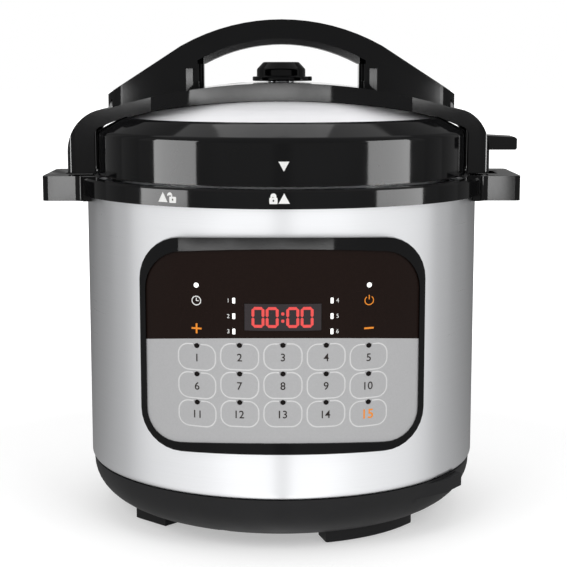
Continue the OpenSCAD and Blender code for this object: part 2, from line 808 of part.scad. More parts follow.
// Outline of a panel piece, made smaller by insets at the sides and at the ends, with rows that step down
module panel_plan(inset_x, inset_z, corner, droop) {
    w = bezel_w / 2 - inset_x - corner;
    z0 = bezel_z0 + inset_z + corner;
    z1 = bezel_z1 - inset_z - corner;
    span = [for (i = [1 : 7]) w * (i - 4) / 4];
    points = concat(
        arc(w, z0, corner, corner, -90, 0, 8),
        arc(w, z1, corner, corner, 0, 90, 8),
        [for (i = [6 : -1 : 0]) [span[i], z1 + corner]],
        arc(-w, z1, corner, corner, 90, 180, 8),
        arc(-w, z0, corner, corner, 180, 270, 8),
        [for (i = [0 : 6]) [span[i], z0 - corner]]);
    polygon([for (p = points) [p[0], p[1] - droop * recess(film_out, p[0])]]);
}

bezel_droop = row_droop / 2;

// Openings for the keys and the lights, made wider by a gap
module panel_openings(gap) {
    for (p = KEY_PLACES) translate(p) round_rect(key_w + 2 * gap, key_h + 2 * gap, key_corner + gap);
    for (p = UPPER_PLACES) translate(p) round_rect(upper_key_w + 2 * gap, upper_key_h + 2 * gap, 3 + gap);
    translate([0, display_z]) square([display_w + 2 * gap, display_h + 2 * gap], center = true);
}

module light_openings(gap) {
    for (p = KEY_PLACES) translate(dot_place(p)) circle(r = dot_r + gap, $fn = 24);
    for (side = [-1, 1]) {
        translate([side * upper_x, light_z]) circle(r = dot_r + gap, $fn = 24);
        for (z = BAR_Z) translate([side * bar_x, z]) square([bar_w + 2 * gap, bar_h + 2 * gap], center = true);
    }
}

module panel_bezel() {
    color("#1d1d1f") difference() {
        intersection() {
            tube(drum_r, bezel_out, bezel_z0 - 10, bezel_z1);
            front_prism(drum_r / 2, bezel_out + cut) panel_plan(0, 0, bezel_corner, bezel_droop);
        }
        intersection() {
            tube(film_in, bezel_out + cut, bezel_z0 - 10, bezel_z1);
            front_prism(drum_r / 2, bezel_out + cut) panel_plan(frame_w, frame_h, bezel_corner - 4, row_droop);
        }
        intersection() {
            translate([0, 0, bezel_z0]) cylinder(r = carrier_in, h = bezel_h);
            front_prism(drum_r / 2, bezel_out + cut)
                translate([0, (bezel_z0 + bezel_z1) / 2])
                    round_rect(2 * window_half_w - 4, bezel_h - 2 * window_margin - 4, bezel_corner - 8);
        }
        front_prism(drum_r / 2, bezel_out + cut) {
            panel_openings(key_gap);
            light_openings(0);
        }
    }
    color("#1d1d1f") intersection() {
        at_panel_screws() difference() {
            cylinder(r = 4, h = drum_r + 1);
            cylinder(r = screw_r + screw_clear, h = drum_r - 2);
        }
        tube(board_out, carrier_in + 0.5, bezel_z0, bezel_z1);
    }
}

module panel_screws() {
    y = sqrt(board_out * board_out - (window_half_w - 9) * (window_half_w - 9));
    color("#9a9a98") at_panel_screws() translate([0, 0, y - 5.6]) {
        cylinder(r = 2 * screw_r - 0.2, h = 1.8);
        cylinder(r = screw_r, h = 11.6);
    }
}

module panel_film() {
    color("#3a3534") difference() {
        intersection() {
            tube(film_in, film_out, bezel_z0 - 10, bezel_z1);
            front_prism(drum_r / 2, bezel_out + cut)
                panel_plan(frame_w + 0.15, frame_h + 0.15, bezel_corner - 4.1, row_droop);
        }
        front_prism(drum_r / 2, bezel_out + cut) {
            panel_openings(key_gap);
            light_openings(0);
        }
    }
}

module display_module() {
    color("#5a1512") {
        intersection() {
            front_prism(drum_r / 2, bezel_out) translate([0, display_z]) square([display_w, display_h], center = true);
            tube(flange_in, film_out, bezel_z0, bezel_z1);
        }
        intersection() {
            translate([-display_w / 2 + 2, -flange_in - 0.5, display_z - display_h / 2 + 1])
                cube([display_w - 4, 20, display_h - 2]);
            tube(board_out, drum_r, bezel_z0, bezel_z1);
        }
    }
}

module indicator_lights() {
    color("#e9e9e6") intersection() {
        front_prism(drum_r / 2, bezel_out) light_openings(0);
        tube(board_out, film_out, bezel_z0, bezel_z1);
    }
}

// ---------- keys ----------

// A key's cap fills its window, a flange behind the bezel holds it in and a stem reaches its switch
module key(p, w, h, corner) {
    switch_y = sqrt(board_out * board_out - p[0] * p[0]) + switch_h;
    color(p[1] > bezel_z0 + 70 ? "#3a3534" : "#b5b5b6") difference() {
        union() {
            intersection() {
                front_prism(drum_r / 2, bezel_out) translate(p) round_rect(w, h, corner);
                tube(flange_in, film_out, bezel_z0, bezel_z1);
            }
            intersection() {
                front_prism(drum_r / 2, bezel_out) translate(p)
                    round_rect(w + 2 * key_flange_w, h + 2 * key_flange_w, corner + key_flange_w);
                tube(flange_in, carrier_in - body_clear, bezel_z0, bezel_z1);
            }
            intersection() {
                translate([p[0], -switch_y - key_travel - 0.1, p[1]]) rotate([90, 0, 0])
                    cylinder(r = 2.5, h = 20, $fn = 32);
                translate([0, 0, bezel_z0]) cylinder(r = flange_in + key_flange_t / 2, h = bezel_h);
            }
        }
        front_prism(drum_r / 2, bezel_out) light_openings(body_clear - 0.1);
    }
}

module programme_key(i) {
    key(KEY_PLACES[i], key_w, key_h, key_corner);
}

module upper_key(i) {
    key(UPPER_PLACES[i], upper_key_w, upper_key_h, 3);
}

// ---------- power inlet and wiring ----------

module power_inlet() {
    w = socket_w + 2 * socket_wall;
    h = socket_h + 2 * socket_wall;
    depth = socket_depth + 7;
    color("#232324") translate([0, inlet_y, inlet_z]) rotate([90, 0, 0]) difference() {
        union() {
            linear_extrude(socket_flange_t) square([w + 4, h + 2.6], center = true);
            linear_extrude(depth) square([w, h], center = true);
        }
        translate([0, 0, -cut]) linear_extrude(socket_depth + cut) square([socket_w, socket_h], center = true);
        for (p = [[-7, -2], [7, -2], [0, 2]]) translate([p[0], p[1], 0])
            linear_extrude(depth + cut) square([2, 4], center = true);
    }
}

module inlet_pins() {
    color("#c8a858") for (p = [[-7, -2], [7, -2], [0, 2]])
        translate([p[0], inlet_y - 2, inlet_z + p[1]]) rotate([90, 0, 0])
            linear_extrude(socket_depth + 9) square([2, 4], center = true);
}

module wiring() {
    back = inlet_y - 2 - socket_depth - 9;
    top = board_z + power_board_t;
    back_edge = power_board_d - power_board_y;
    r = 1.1;
    heater = plate_z - coil_wire_r - 14;
    board_in = board_out - board_t;
    color("#b03030") {
        for (x = [-7, 7]) wire([[x, back, inlet_z - 2], [x, back - 8, inlet_z - 2], [x, back - 16, board_z - 1],
            [x, -30, board_z - 1], [x * 3, back_edge + 4, top + 6], [x * 3, back_edge - 4, top + r]], r);
        wire([[0, back, inlet_z + 2], [0, back - 10, inlet_z + 2], [0, 62, 24], [-16, 40, 28],
            [-30, 30, spider_z - r]], r);
        for (x = [-1, 1]) wire([[x * coil_r * sin(9), coil_r * cos(9), heater - r], [x * 14, 50, heater - 6],
            [x * 34, 10, board_z + 6], [x * 50, back_edge + 6, top + 6], [x * 50, back_edge - 3, top + r]], r);
        wire([[8, 1.5 - power_board_y, top + r], [0, -cable_y, base_top - 8], [0, -cable_y, base_top + 6],
            [0, -board_in + 2.7, base_top + 14], [0, -board_in + 2.7, bezel_z0 + 24],
            [0, -board_in + 0.1, bezel_z0 + 24]], r);
    }
}

// ---------- pot and seal ----------

module inner_pot() {
    outer = pot_r + pot_wall;
    color("#6e7073") rotate_extrude() polygon(concat(
        [[0, pot_z]],
        arc(outer - pot_corner, pot_z + pot_corner, pot_corner, pot_corner, -90, 0),
        [[outer, pot_top - pot_wall], [lip_r, pot_top - pot_wall], [lip_r, pot_top], [pot_r, pot_top]],
        arc(outer - pot_corner, pot_z + pot_corner, pot_corner - pot_wall, pot_corner - pot_wall, 0, -90),
        [[0, pot_z + pot_wall]]));
}

seal_h = 11;
seal_out = skirt_r - lid_wall - body_clear;
seal_in = pot_r - 7;
seal_z = pot_top + body_clear;

module sealing_ring() {
    lip = 3;
    color("#d9d9d4") rotate_extrude() polygon([
        [seal_in, seal_z + 2], [seal_in, seal_z + seal_h], [seal_out, seal_z + seal_h],
        [seal_out, seal_z], [seal_in + 5, seal_z], [seal_in + 5, seal_z + lip], [seal_out - 3, seal_z + lip],
        [seal_out - 3, seal_z + 6], [seal_in + 3, seal_z + 6], [seal_in + 3, seal_z + 2]]);
}

module ring_rack() {
    color("#b4b6b8") rotate_extrude() polygon([
        [seal_in - 1.2, seal_z + 1.5], [seal_in, seal_z + 1.5], [seal_in, seal_z + seal_h + 1.2],
        [seal_in - 7, seal_z + seal_h + 1.2], [seal_in - 7, seal_z + seal_h], [seal_in - 1.2, seal_z + seal_h]]);
}

// ---------- lid ----------

lid_screw_x = dome_r - 21;
lid_screw_y = 9;
dome_pad_h = 1.6;

module at_lid_screws() {
    for (x = [-1, 1], y = [-1, 1]) translate([x * lid_screw_x, y * lid_screw_y, 0]) children();
}

// Height of the flat pad under the dome at radius r
function pad_z(r) = dome_z(r) - lid_wall - dome_pad_h;

lid_screw_r = norm([lid_screw_x, lid_screw_y]);
float_ring_r = norm([float_x, valve_y]);

// Profile of the dome and skirt, made smaller by an inset, from its foot up to the axis
function lid_profile(inset, foot) = concat(
    [[skirt_r - inset, foot]],
    arc(dome_r - 1, shoulder_z, skirt_r - dome_r + 1 - inset, dome_z(dome_r - 1) - shoulder_z - inset, 0, 90),
    [for (i = [1 : 14]) let (r = (dome_r - 1) * (1 - i / 14)) [r, dome_z(r) - inset]]);

module lid_shell() {
    pad_r = 6;
    color("#c4c6c8") on_lid() difference() {
        union() {
            rotate([0, 0, -lid_yaw]) {
                rotate_extrude() polygon(concat(
                    lid_profile(0, tab_z),
                    [for (i = [0 : len(lid_profile(lid_wall, tab_z)) - 1])
                        lid_profile(lid_wall, tab_z)[len(lid_profile(lid_wall, tab_z)) - 1 - i]]));
                for (i = [0 : lug_count - 1]) {
                    az = 360 / lug_count * i;
                    sector(skirt_r - lid_wall / 2, tab_reach, tab_z, tab_z + tab_t,
                        az - bayonet_arc / 2, az + bayonet_arc / 2);
                }
            }
            intersection() {
                union() {
                    at_lid_screws() translate([0, 0, pad_z(lid_screw_r)]) cylinder(r = pad_r, h = 2 * dome_rise);
                    translate([0, valve_y, pad_z(valve_y)]) cylinder(r = pipe_r + 4, h = 2 * dome_rise);
                }
                rotate_extrude() polygon(concat(lid_profile(lid_wall / 2, tab_z), [[0, tab_z]]));
            }
        }
        at_lid_screws() translate([0, 0, pad_z(lid_screw_r) - cut])
            cylinder(r = screw_r + screw_clear, h = 20);
        translate([0, valve_y, pad_z(valve_y) - cut]) cylinder(r = pipe_r, h = 20);
        translate([-float_x, valve_y, pad_z(float_ring_r) - cut]) cylinder(r = float_r + 2, h = 20);
    }
}

ring_corner_z = lid_z + ring_h;

// Outer profile of the lid ring from its foot to its inner lip, made larger by a gap at its wall and one at its lip
function ring_profile(wall_gap, lip_gap) = concat(
    [[ring_r + wall_gap, lid_z]],
    arc(ring_r - ring_round, ring_corner_z - ring_round / 2, ring_round + wall_gap, ring_round + wall_gap, 0, 62.5, 6),
    [[dome_r + ring_lip_w, dome_edge_z - 0.5 + lip_gap], [dome_r + 2, dome_edge_z + 0.7 + lip_gap],
    [dome_r, dome_edge_z + 0.8 + lip_gap]]);

module lid_ring() {
    color("#171719") difference() {
        rotate_extrude() difference() {
            polygon(concat(ring_profile(0, 0), [[dome_r, dome_edge_z - 4], [skirt_r, shoulder_z], [skirt_r, lid_z]]));
            polygon(concat(lid_profile(0, lid_z - cut), [[0, lid_z - cut]]));
            polygon([
                [ring_r - ring_wall, lid_z + ring_wall], [ring_r - ring_wall, ring_corner_z - 2],
                [skirt_r + ring_wall, ring_corner_z + 2], [skirt_r + ring_wall, lid_z + ring_wall]]);
        }
        for (i = [0 : 11]) rotate([0, 0, 30 * i + 15]) translate([(ring_r + skirt_r) / 2, 0, lid_z])
            cube([5, 12, 3 * ring_wall], center = true);
    }
}

// Outside of one half of the bracket seen from the front, out to a reach
function bracket_half(reach, inset) = concat(
    [for (i = [0 : 8]) let (x = arm_start * i / 8) [x, bracket_z(x) - inset]],
    arc(arm_start, bracket_z(arm_start) - arm_corner_h, reach - arm_start - inset, arm_corner_h - inset, 90, 0),
    [[reach - inset, arm_bottom]]);

// Outside of the bracket seen from the front, made smaller by an inset
module bracket_elevation(inset) {
    left = bracket_half(arm_r, inset);
    polygon(concat(bracket_half(fin_arm_r, inset), [for (i = [len(left) - 1 : -1 : 1]) [-left[i][0], left[i][1]]]));
}

// Circle that bulges to y = bulge and passes the arms' corners
module bulge_circle(bulge) {
    edge = ring_r - 43;
    back = bulge - arm_w / 2 - 3.4 - (bulge - bulge_front) / 2;
    r = (edge * edge + back * back) / (2 * back);
    translate([0, bulge - r]) circle(r = r, $fn = 144);
}

// Plan of the bracket, made smaller by an inset
module bracket_plan(inset) {
    corner = 9;
    intersection() {
        translate([0, -inset]) bulge_circle(bulge_back);
        rotate([0, 0, 180]) translate([0, -inset]) bulge_circle(bulge_front);
    }
    translate([(fin_arm_r - arm_r) / 2, 0])
        round_rect(arm_r + fin_arm_r - 2 * inset, arm_w - 2 * inset, corner - inset);
}

module bracket_body(inset) {
    intersection() {
        rotate([90, 0, 0]) linear_extrude(2 * bulge_back + 10, center = true) bracket_elevation(inset);
        translate([0, 0, arm_bottom - 1]) linear_extrude(bracket_crown - arm_bottom + 2) bracket_plan(inset);
    }
}

// The outside of the lid ring and the dome, made larger by a gap at the ring's wall and one over the dome
module lid_envelope(wall_gap, gap) {
    rotate_extrude() polygon(concat(
        [[0, arm_bottom - 20], [ring_r + wall_gap, arm_bottom - 20]],
        ring_profile(wall_gap, gap),
        [for (i = [1 : 14]) let (r = (dome_r - 1) * (1 - i / 14)) [r, dome_z(r) + gap]]));
}

module lid_bracket() {
    color("#19191b") on_lid() difference() {
        union() {
            difference() {
                bracket_body(0);
                bracket_body(bracket_wall);
            }
            intersection() {
                union() {
                    for (x = [-1, 1]) translate([x * (arm_r - 12), 0, bracket_crown / 2])
                        cube([22, bracket_wall, bracket_crown], center = true);
                    translate([0, valve_y, 0]) cylinder(r = weight_r + 4.5, h = bracket_crown);
                }
                bracket_body(bracket_wall / 2);
            }
            fin_body();
        }
        lid_envelope(arm_gap, bracket_gap);
        translate([0, valve_y, dome_z(valve_y) - 5]) cylinder(r = weight_r + 2, h = 40);
        translate([-float_x, valve_y, dome_z(valve_y) - 10]) cylinder(r = float_r + 4, h = 40);
        at_lid_screws() cylinder(r = screw_r + screw_clear, h = 2 * bracket_crown);
    }
    // Bosses that stand on the dome around the screws
    color("#19191b") on_lid() difference() {
        intersection() {
            at_lid_screws() cylinder(r = 5, h = bracket_crown);
            bracket_body(bracket_wall / 2);
        }
        lid_envelope(0, 0);
        at_lid_screws() cylinder(r = screw_r + screw_clear, h = 2 * bracket_crown);
    }
}

// The fin that stands the lid on edge in a side handle's slot
module fin_body() {
    translate([0, fin_w / 2, 0]) rotate([90, 0, 0]) linear_extrude(fin_w) polygon([
        [fin_arm_r - bracket_wall, fin_bottom_z], [fin_r - 1, fin_bottom_z], [fin_r, fin_bottom_z + 1],
        [fin_r, fin_top_z - 2.4], [fin_r - 1.4, fin_top_z - 1.2], [fin_arm_r - 5, fin_top_z],
        [fin_arm_r - 8, fin_top_z - 4]]);
}

// ---------- lid handle ----------

// Height of the handle's outer top: an arch in the middle and straight slopes down to the ends
handle_top = bracket_crown + handle_rise;
slope_x = 67.4;
arch_rise = 17.5;
end_top = bracket_z(handle_l) + handle_end_h;
arch_r = (slope_x * slope_x + arch_rise * arch_rise) / (2 * arch_rise);
inner_r = 112;
inner_top = bracket_crown + grip_gap;

// Upper edge of the handle, lowered by an inset
function handle_edge(inset) = concat(
    [[-handle_l + inset, end_top - inset]],
    [for (i = [0 : 16]) let (x = slope_x * (i / 8 - 1)) [x, handle_top - recess(arch_r, x) - inset]],
    [[handle_l - inset, end_top - inset]]);

// Lower edge of the handle, which stands on the bracket
function handle_foot(lift) = concat(
    [[handle_l, bracket_z(arm_start) + lift]],
    [for (i = [8 : -1 : -8]) let (x = arm_start * i / 8) [x, bracket_z(x) + lift]],
    [[-handle_l, bracket_z(arm_start) + lift]]);

// The finger gap, made wider by a margin
module grip_plan(margin) {
    side = grip_half + margin;
    polygon(concat(
        [[side, 0], [side, inner_top + margin - recess(inner_r + margin, side)]],
        [for (i = [1 : 15]) let (x = side * (1 - i / 8)) [x, inner_top + margin - recess(inner_r + margin, x)]],
        [[-side, inner_top + margin - recess(inner_r + margin, side)], [-side, 0]]));
}

module handle_slab(w) {
    translate([0, w / 2, 0]) rotate([90, 0, 0]) linear_extrude(w) children();
}

leg_t = 11.7;

module lid_handle() {
    color("#1b1b1d") on_lid() difference() {
        intersection() {
            handle_slab(handle_w) difference() {
                polygon(concat(handle_edge(0), handle_foot(0)));
                grip_plan(insert_t);
                translate([-grip_half - leg_t, 0]) square([2 * (grip_half + leg_t), inner_top - 16]);
            }
            linear_extrude(2 * handle_top) round_rect(2 * handle_l, handle_w, handle_round);
        }
        difference() {
            handle_slab(handle_w - 6) difference() {
                polygon(concat(handle_edge(3), handle_foot(-1)));
                square([2 * (grip_half + leg_t + 3), 4 * handle_top], center = true);
            }
            at_lid_screws() cylinder(r = 4.5, h = handle_top);
        }
        at_lid_screws() cylinder(r = screw_r - 0.1, h = bracket_z(lid_screw_x) + 9);
    }
}

module handle_insert() {
    color("#1b1b1d") on_lid() intersection() {
        handle_slab(handle_w) difference() {
            intersection() {
                polygon(concat(handle_edge(1), handle_foot(0)));
                union() {
                    grip_plan(insert_t);
                    translate([-grip_half - leg_t, 0]) square([2 * (grip_half + leg_t), inner_top - 16]);
                }
            }
            grip_plan(0);
        }
        linear_extrude(2 * handle_top) difference() {
            square([4 * grip_half, handle_w], center = true);
            for (x = [-1, 1], y = [-1, 1]) translate([x * grip_half, y * handle_w / 2]) difference() {
                square([2 * handle_round, 2 * handle_round], center = true);
                translate([x * handle_round, -y * handle_round]) circle(r = handle_round);
                translate([-x * handle_round, 0]) square([2 * handle_round, 4 * handle_round], center = true);
            }
        }
    }
}

module lid_screws() {
    color("#9a9a98") on_lid() at_lid_screws() {
        translate([0, 0, pad_z(lid_screw_r) - 2.2]) cylinder(r = 2 * screw_r + 0.6, h = 2.2);
        translate([0, 0, pad_z(lid_screw_r) - 2.2])
            cylinder(r = screw_r - 0.1, h = bracket_z(lid_screw_x) + 8 - pad_z(lid_screw_r));
    }
}

// ---------- valves ----------

knob_z = bracket_crown + body_clear;
knob_top = knob_z + knob_h;
weight_top = knob_top - 4;
pipe_top = weight_top - 5;

module at_vent() {
    on_lid() translate([0, valve_y, 0]) children();
}

module vent_pipe() {
    z = pad_z(valve_y);
    color("#b9bbbd") at_vent() difference() {
        union() {
            translate([0, 0, z - 8]) cylinder(r = pipe_r, h = pipe_top - z + 8);
            translate([0, 0, z - 3]) cylinder(r = pipe_r + 3, h = 3);
            translate([0, 0, dome_z(valve_y) + 0.6]) cylinder(r = pipe_r + 3, h = 2.4, $fn = 6);
        }
        translate([0, 0, z - 10]) cylinder(r = 1.5, h = 60, $fn = 32);
    }
}

module vent_shield() {
    z = pad_z(valve_y) - 8;
    color("#a6a8aa") at_vent() difference() {
        translate([0, 0, z - 7]) cylinder(r = pipe_r + 5, h = 11);
        translate([0, 0, z - 6]) cylinder(r = pipe_r + 4, h = 9);
        translate([0, 0, z + 2]) cylinder(r = pipe_r, h = 5);
        for (i = [0 : 5]) rotate([0, 0, 60 * i]) translate([pipe_r + 4, 0, z - 2]) cube([6, 2, 5], center = true);
    }
}

module valve_weight() {
    z = dome_z(valve_y) + 4.5;
    color("#a2a4a6") at_vent() difference() {
        translate([0, 0, z]) cylinder(r = weight_r, h = weight_top - z);
        translate([0, 0, z - cut]) cylinder(r = pipe_r + pipe_clear, h = pipe_top + body_clear - z + cut);
    }
}

module valve_knob() {
    color("#161617") at_vent() difference() {
        union() {
            translate([0, 0, knob_z]) cylinder(r = knob_r + 3, h = knob_flange_t);
            translate([knob_r, -4, knob_z]) cube([4.6, 8, knob_flange_t]);
            translate([0, 0, knob_z]) cylinder(r = knob_r, h = knob_h - 5);
            translate([0, 0, knob_top - 5]) cylinder(r1 = knob_r, r2 = knob_r - 4.7, h = 5);
        }
        translate([0, 0, knob_z - cut]) cylinder(r = weight_r + pipe_clear, h = weight_top + body_clear - knob_z + cut);
    }
}

module at_float() {
    on_lid() translate([-float_x, valve_y, 0]) children();
}

float_travel = 3.7;
float_seat_z = pad_z(float_ring_r) - 4;
float_seat_top = dome_z(float_ring_r) + 4;
pin_top = bracket_z(float_x) - 2;

module float_seat() {
    color("#8a8c8e") at_float() difference() {
        union() {
            translate([0, 0, float_seat_z]) cylinder(r = float_r + 2, h = float_seat_top - float_seat_z);
            translate([0, 0, float_seat_z]) cylinder(r = float_r + 4, h = 4);
        }
        translate([0, 0, float_seat_z - cut]) cylinder(r = float_r + 0.05, h = 60);
    }
}

module float_pin() {
    color("#b23a2e") at_float() {
        z = float_seat_z - float_travel - body_clear - 3;
        translate([0, 0, z]) cylinder(r = float_r, h = pin_top - z);
        translate([0, 0, float_seat_top + body_clear]) cylinder(r = float_r + 1.2, h = pin_top - float_seat_top - body_clear);
    }
}

module float_gasket() {
    z = float_seat_z - float_travel - body_clear - 2;
    color("#d9d9d4") at_float() difference() {
        translate([0, 0, z]) cylinder(r = float_r + 2.5, h = 2);
        translate([0, 0, z - cut]) cylinder(r = float_r, h = 6);
    }
}

// ---------- nodes ----------

base_cover();
rubber_feet();
base_screws();
drum();
upper_rim();
cooker_liner();
heating_plate();
heater_terminals();
pressure_plate();
sensor_button();
sensor_spring();
pressure_switch();
thermal_fuse();
power_board();
board_parts();
control_board();
key_switches();
display_module();
panel_bezel();
panel_film();
indicator_lights();
panel_screws();
power_inlet();
inlet_pins();
wiring();
inner_pot();
sealing_ring();
ring_rack();
lid_shell();
lid_ring();
lid_bracket();
lid_handle();
handle_insert();
lid_screws();
vent_pipe();
vent_shield();
valve_weight();
valve_knob();
float_seat();
float_pin();
float_gasket();
upper_key(1);  // minus_key
upper_key(0);  // plus_key
upper_key(2);  // timer_key
upper_key(3);  // cancel_key
for (i = [0 : rows * columns - 1]) programme_key(i);
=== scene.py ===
# An electric pressure cooker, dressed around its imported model. Metres, +Z up, the front faces -Y.
import bmesh
import bpy
import json
import math
from mathutils import Matrix, Vector

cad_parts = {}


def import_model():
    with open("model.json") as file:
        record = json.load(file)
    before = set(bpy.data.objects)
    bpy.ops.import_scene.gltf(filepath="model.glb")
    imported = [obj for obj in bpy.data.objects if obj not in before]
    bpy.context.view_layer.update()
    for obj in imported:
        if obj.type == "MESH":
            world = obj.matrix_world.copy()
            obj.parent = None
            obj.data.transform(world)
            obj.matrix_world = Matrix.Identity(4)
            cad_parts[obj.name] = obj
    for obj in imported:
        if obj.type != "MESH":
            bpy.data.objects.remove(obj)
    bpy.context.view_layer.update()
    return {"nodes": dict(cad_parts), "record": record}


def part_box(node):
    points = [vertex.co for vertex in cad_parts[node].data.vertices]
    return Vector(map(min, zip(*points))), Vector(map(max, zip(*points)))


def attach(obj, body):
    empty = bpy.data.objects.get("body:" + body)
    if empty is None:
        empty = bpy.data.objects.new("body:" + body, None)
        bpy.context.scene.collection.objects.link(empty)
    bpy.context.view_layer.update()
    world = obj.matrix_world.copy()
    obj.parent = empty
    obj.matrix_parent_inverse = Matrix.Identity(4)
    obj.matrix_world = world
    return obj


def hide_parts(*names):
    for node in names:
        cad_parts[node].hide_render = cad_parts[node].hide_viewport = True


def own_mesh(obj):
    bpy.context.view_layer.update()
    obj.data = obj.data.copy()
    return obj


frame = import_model()
NODES = frame["nodes"]
BODY_OF = {n: body for body, nodes in frame["record"]["behaviour"]["bodies"].items() for n in nodes}
SLOT_OF = {p["node"]: p["material_slot"] for p in frame["record"]["subparts"]}


# ---------------------------------------------------------------- node helpers

NOISE_ROUGHNESS = 0.55
NOISE_LOW, NOISE_HIGH = 0.3, 0.7    # the part of a noise's range that a material is spread over
LINES_LOW, LINES_HIGH = 0.25, 0.75  # the same for brush lines
SCREEN_KNEE = 0.04045               # below this a screen colour is linear


def linear(r, g, b):
    """A colour given as it looks on screen, 0 to 255, as Blender wants it"""
    def one(v):
        v /= 255
        return v / 12.92 if v <= SCREEN_KNEE else ((v + 0.055) / 1.055) ** 2.4
    return one(r), one(g), one(b), 1.0


class Shader:
    """A material's node tree, with short calls for the nodes that the materials share"""

    def __init__(self, name):
        self.material = bpy.data.materials.new(name)
        self.material.use_nodes = True
        self.tree = self.material.node_tree
        self.tree.nodes.clear()
        self.output = self.tree.nodes.new("ShaderNodeOutputMaterial")
        self.bsdf = self.tree.nodes.new("ShaderNodeBsdfPrincipled")
        self.link(self.bsdf.outputs[0], self.output.inputs["Surface"])
        self.place = self.tree.nodes.new("ShaderNodeTexCoord").outputs["Object"]

    def link(self, a, b):
        self.tree.links.new(a, b)

    def feed(self, socket, value):
        if isinstance(value, bpy.types.NodeSocket):
            self.link(value, socket)
        else:
            socket.default_value = value

    def math(self, operation, *values):
        node = self.tree.nodes.new("ShaderNodeMath")
        node.operation = operation
        for socket, value in zip(node.inputs, values):
            self.feed(socket, value)
        return node.outputs[0]

    def axes(self):
        node = self.tree.nodes.new("ShaderNodeSeparateXYZ")
        self.link(self.place, node.inputs[0])
        return node.outputs

    def radius(self, x, y):
        """Distance from the object's upright axis"""
        return self.math("SQRT", self.math("ADD", self.math("MULTIPLY", x, x), self.math("MULTIPLY", y, y)))

    def vector(self, x, y, z):
        node = self.tree.nodes.new("ShaderNodeCombineXYZ")
        for socket, value in zip(node.inputs, (x, y, z)):
            self.feed(socket, value)
        return node.outputs[0]

    def noise(self, scale, detail=3.0, vector=None):
        node = self.tree.nodes.new("ShaderNodeTexNoise")
        self.feed(node.inputs["Vector"], vector or self.place)
        node.inputs["Scale"].default_value = scale
        node.inputs["Detail"].default_value = detail
        node.inputs["Roughness"].default_value = NOISE_ROUGHNESS
        return node.outputs["Fac"]

    def ramp(self, fac, low, high, out_low, out_high):
        node = self.tree.nodes.new("ShaderNodeMapRange")
        self.feed(node.inputs["Value"], fac)
        for name, value in (("From Min", low), ("From Max", high), ("To Min", out_low), ("To Max", out_high)):
            node.inputs[name].default_value = value
        return node.outputs[0]

    def spread(self, noise, out_low=0.0, out_high=1.0):
        """A noise's usual range taken to the range from out_low to out_high"""
        return self.ramp(noise, NOISE_LOW, NOISE_HIGH, out_low, out_high)

    def mix(self, fac, a, b):
        node = self.tree.nodes.new("ShaderNodeMix")
        node.data_type = "RGBA"
        self.feed(node.inputs["Factor"], fac)
        self.feed(node.inputs[6], a)
        self.feed(node.inputs[7], b)
        return node.outputs[2]

    def bump(self, height, strength, distance):
        node = self.tree.nodes.new("ShaderNodeBump")
        node.inputs["Strength"].default_value = strength
        node.inputs["Distance"].default_value = distance
        self.link(height, node.inputs["Height"])
        self.link(node.outputs[0], self.bsdf.inputs["Normal"])

    def set(self, **values):
        for name, value in values.items():
            self.feed(self.bsdf.inputs[name.replace("_", " ")], value)


def scaled(colour, factor):
    """The colour made lighter or darker, with full alpha"""
    return tuple(c * factor for c in colour[:3]) + (1.0,)


def surface(name, colour, rough, metal=0.0, specular=0.5, mottle=(60.0, 0.1), worn=(25.0, 0.05), grain=None):
    """Colour that varies by mottle and roughness that varies by worn, each (scale, amount), and a fine bump, grain,
    which is (scale, strength, distance)"""
    s = Shader(name)
    (mottle_scale, mottled), (worn_scale, wear) = mottle, worn
    s.set(Base_Color=s.mix(s.spread(s.noise(mottle_scale)), scaled(colour, 1 - mottled), scaled(colour, 1 + mottled)),
          Metallic=metal, Specular_IOR_Level=specular,
          Roughness=s.spread(s.noise(worn_scale, 5.0), rough - wear, rough + wear))
    if grain:
        grain_scale, strength, distance = grain
        s.bump(s.noise(grain_scale, 2.0), strength, distance)
    return s.material


def brushed(name, colour, rough, anisotropy, fine, around=True):
    """Metal with brush lines around the drum's axis, or rings about it on a flat or domed sheet"""
    s = Shader(name)
    x, y, z = s.axes()
    angle = s.math("ARCTAN2", x, s.math("MULTIPLY", y, -1.0))
    across = z if around else s.radius(x, y)
    lines = s.noise(1.0, 2.0, s.vector(s.math("MULTIPLY", angle, 1.3), 0.0, s.math("MULTIPLY", across, fine)))
    broad = s.noise(1.0, 3.0, s.vector(s.math("MULTIPLY", angle, 2.0), 4.0, s.math("MULTIPLY", across, fine * 0.02)))
    line_colour = s.ramp(lines, LINES_LOW, LINES_HIGH, 0.0, 1.0)
    line_rough = s.ramp(lines, LINES_LOW, LINES_HIGH, -0.02, 0.02)
    s.set(Base_Color=s.mix(line_colour, scaled(colour, 0.97), scaled(colour, 1.03)),
          Metallic=1.0,
          Roughness=s.math("ADD", line_rough, s.spread(broad, rough - 0.015, rough + 0.015)),
          Anisotropic=anisotropy)
    tangent = s.tree.nodes.new("ShaderNodeTangent")
    tangent.direction_type = "RADIAL"
    tangent.axis = "Z"
    s.link(tangent.outputs[0], s.bsdf.inputs["Tangent"])
    s.bsdf.inputs["Anisotropic Rotation"].default_value = 0.25
    s.bump(lines, 0.05, 0.00004)
    return s.material


def glow(name, colour, strength, base=(0.02, 0.02, 0.02, 1.0)):
    """A lit surface whose brightness falls off a little from place to place"""
    s = Shader(name)
    level = s.spread(s.noise(300.0), strength * 0.93, strength * 1.07)
    s.set(Base_Color=base, Roughness=0.4, Emission_Color=colour, Emission_Strength=level)
    return s.material


# ---------------------------------------------------------------- materials

FILM_OUT = 0.1362      # radius of the panel film's outer face
FILM_SPLIT_Z = 0.1406  # height where the film turns from grey to dark, at the middle of the panel
ROW_DROOP = 0.2        # how far the artwork steps down for each metre that the panel curves back


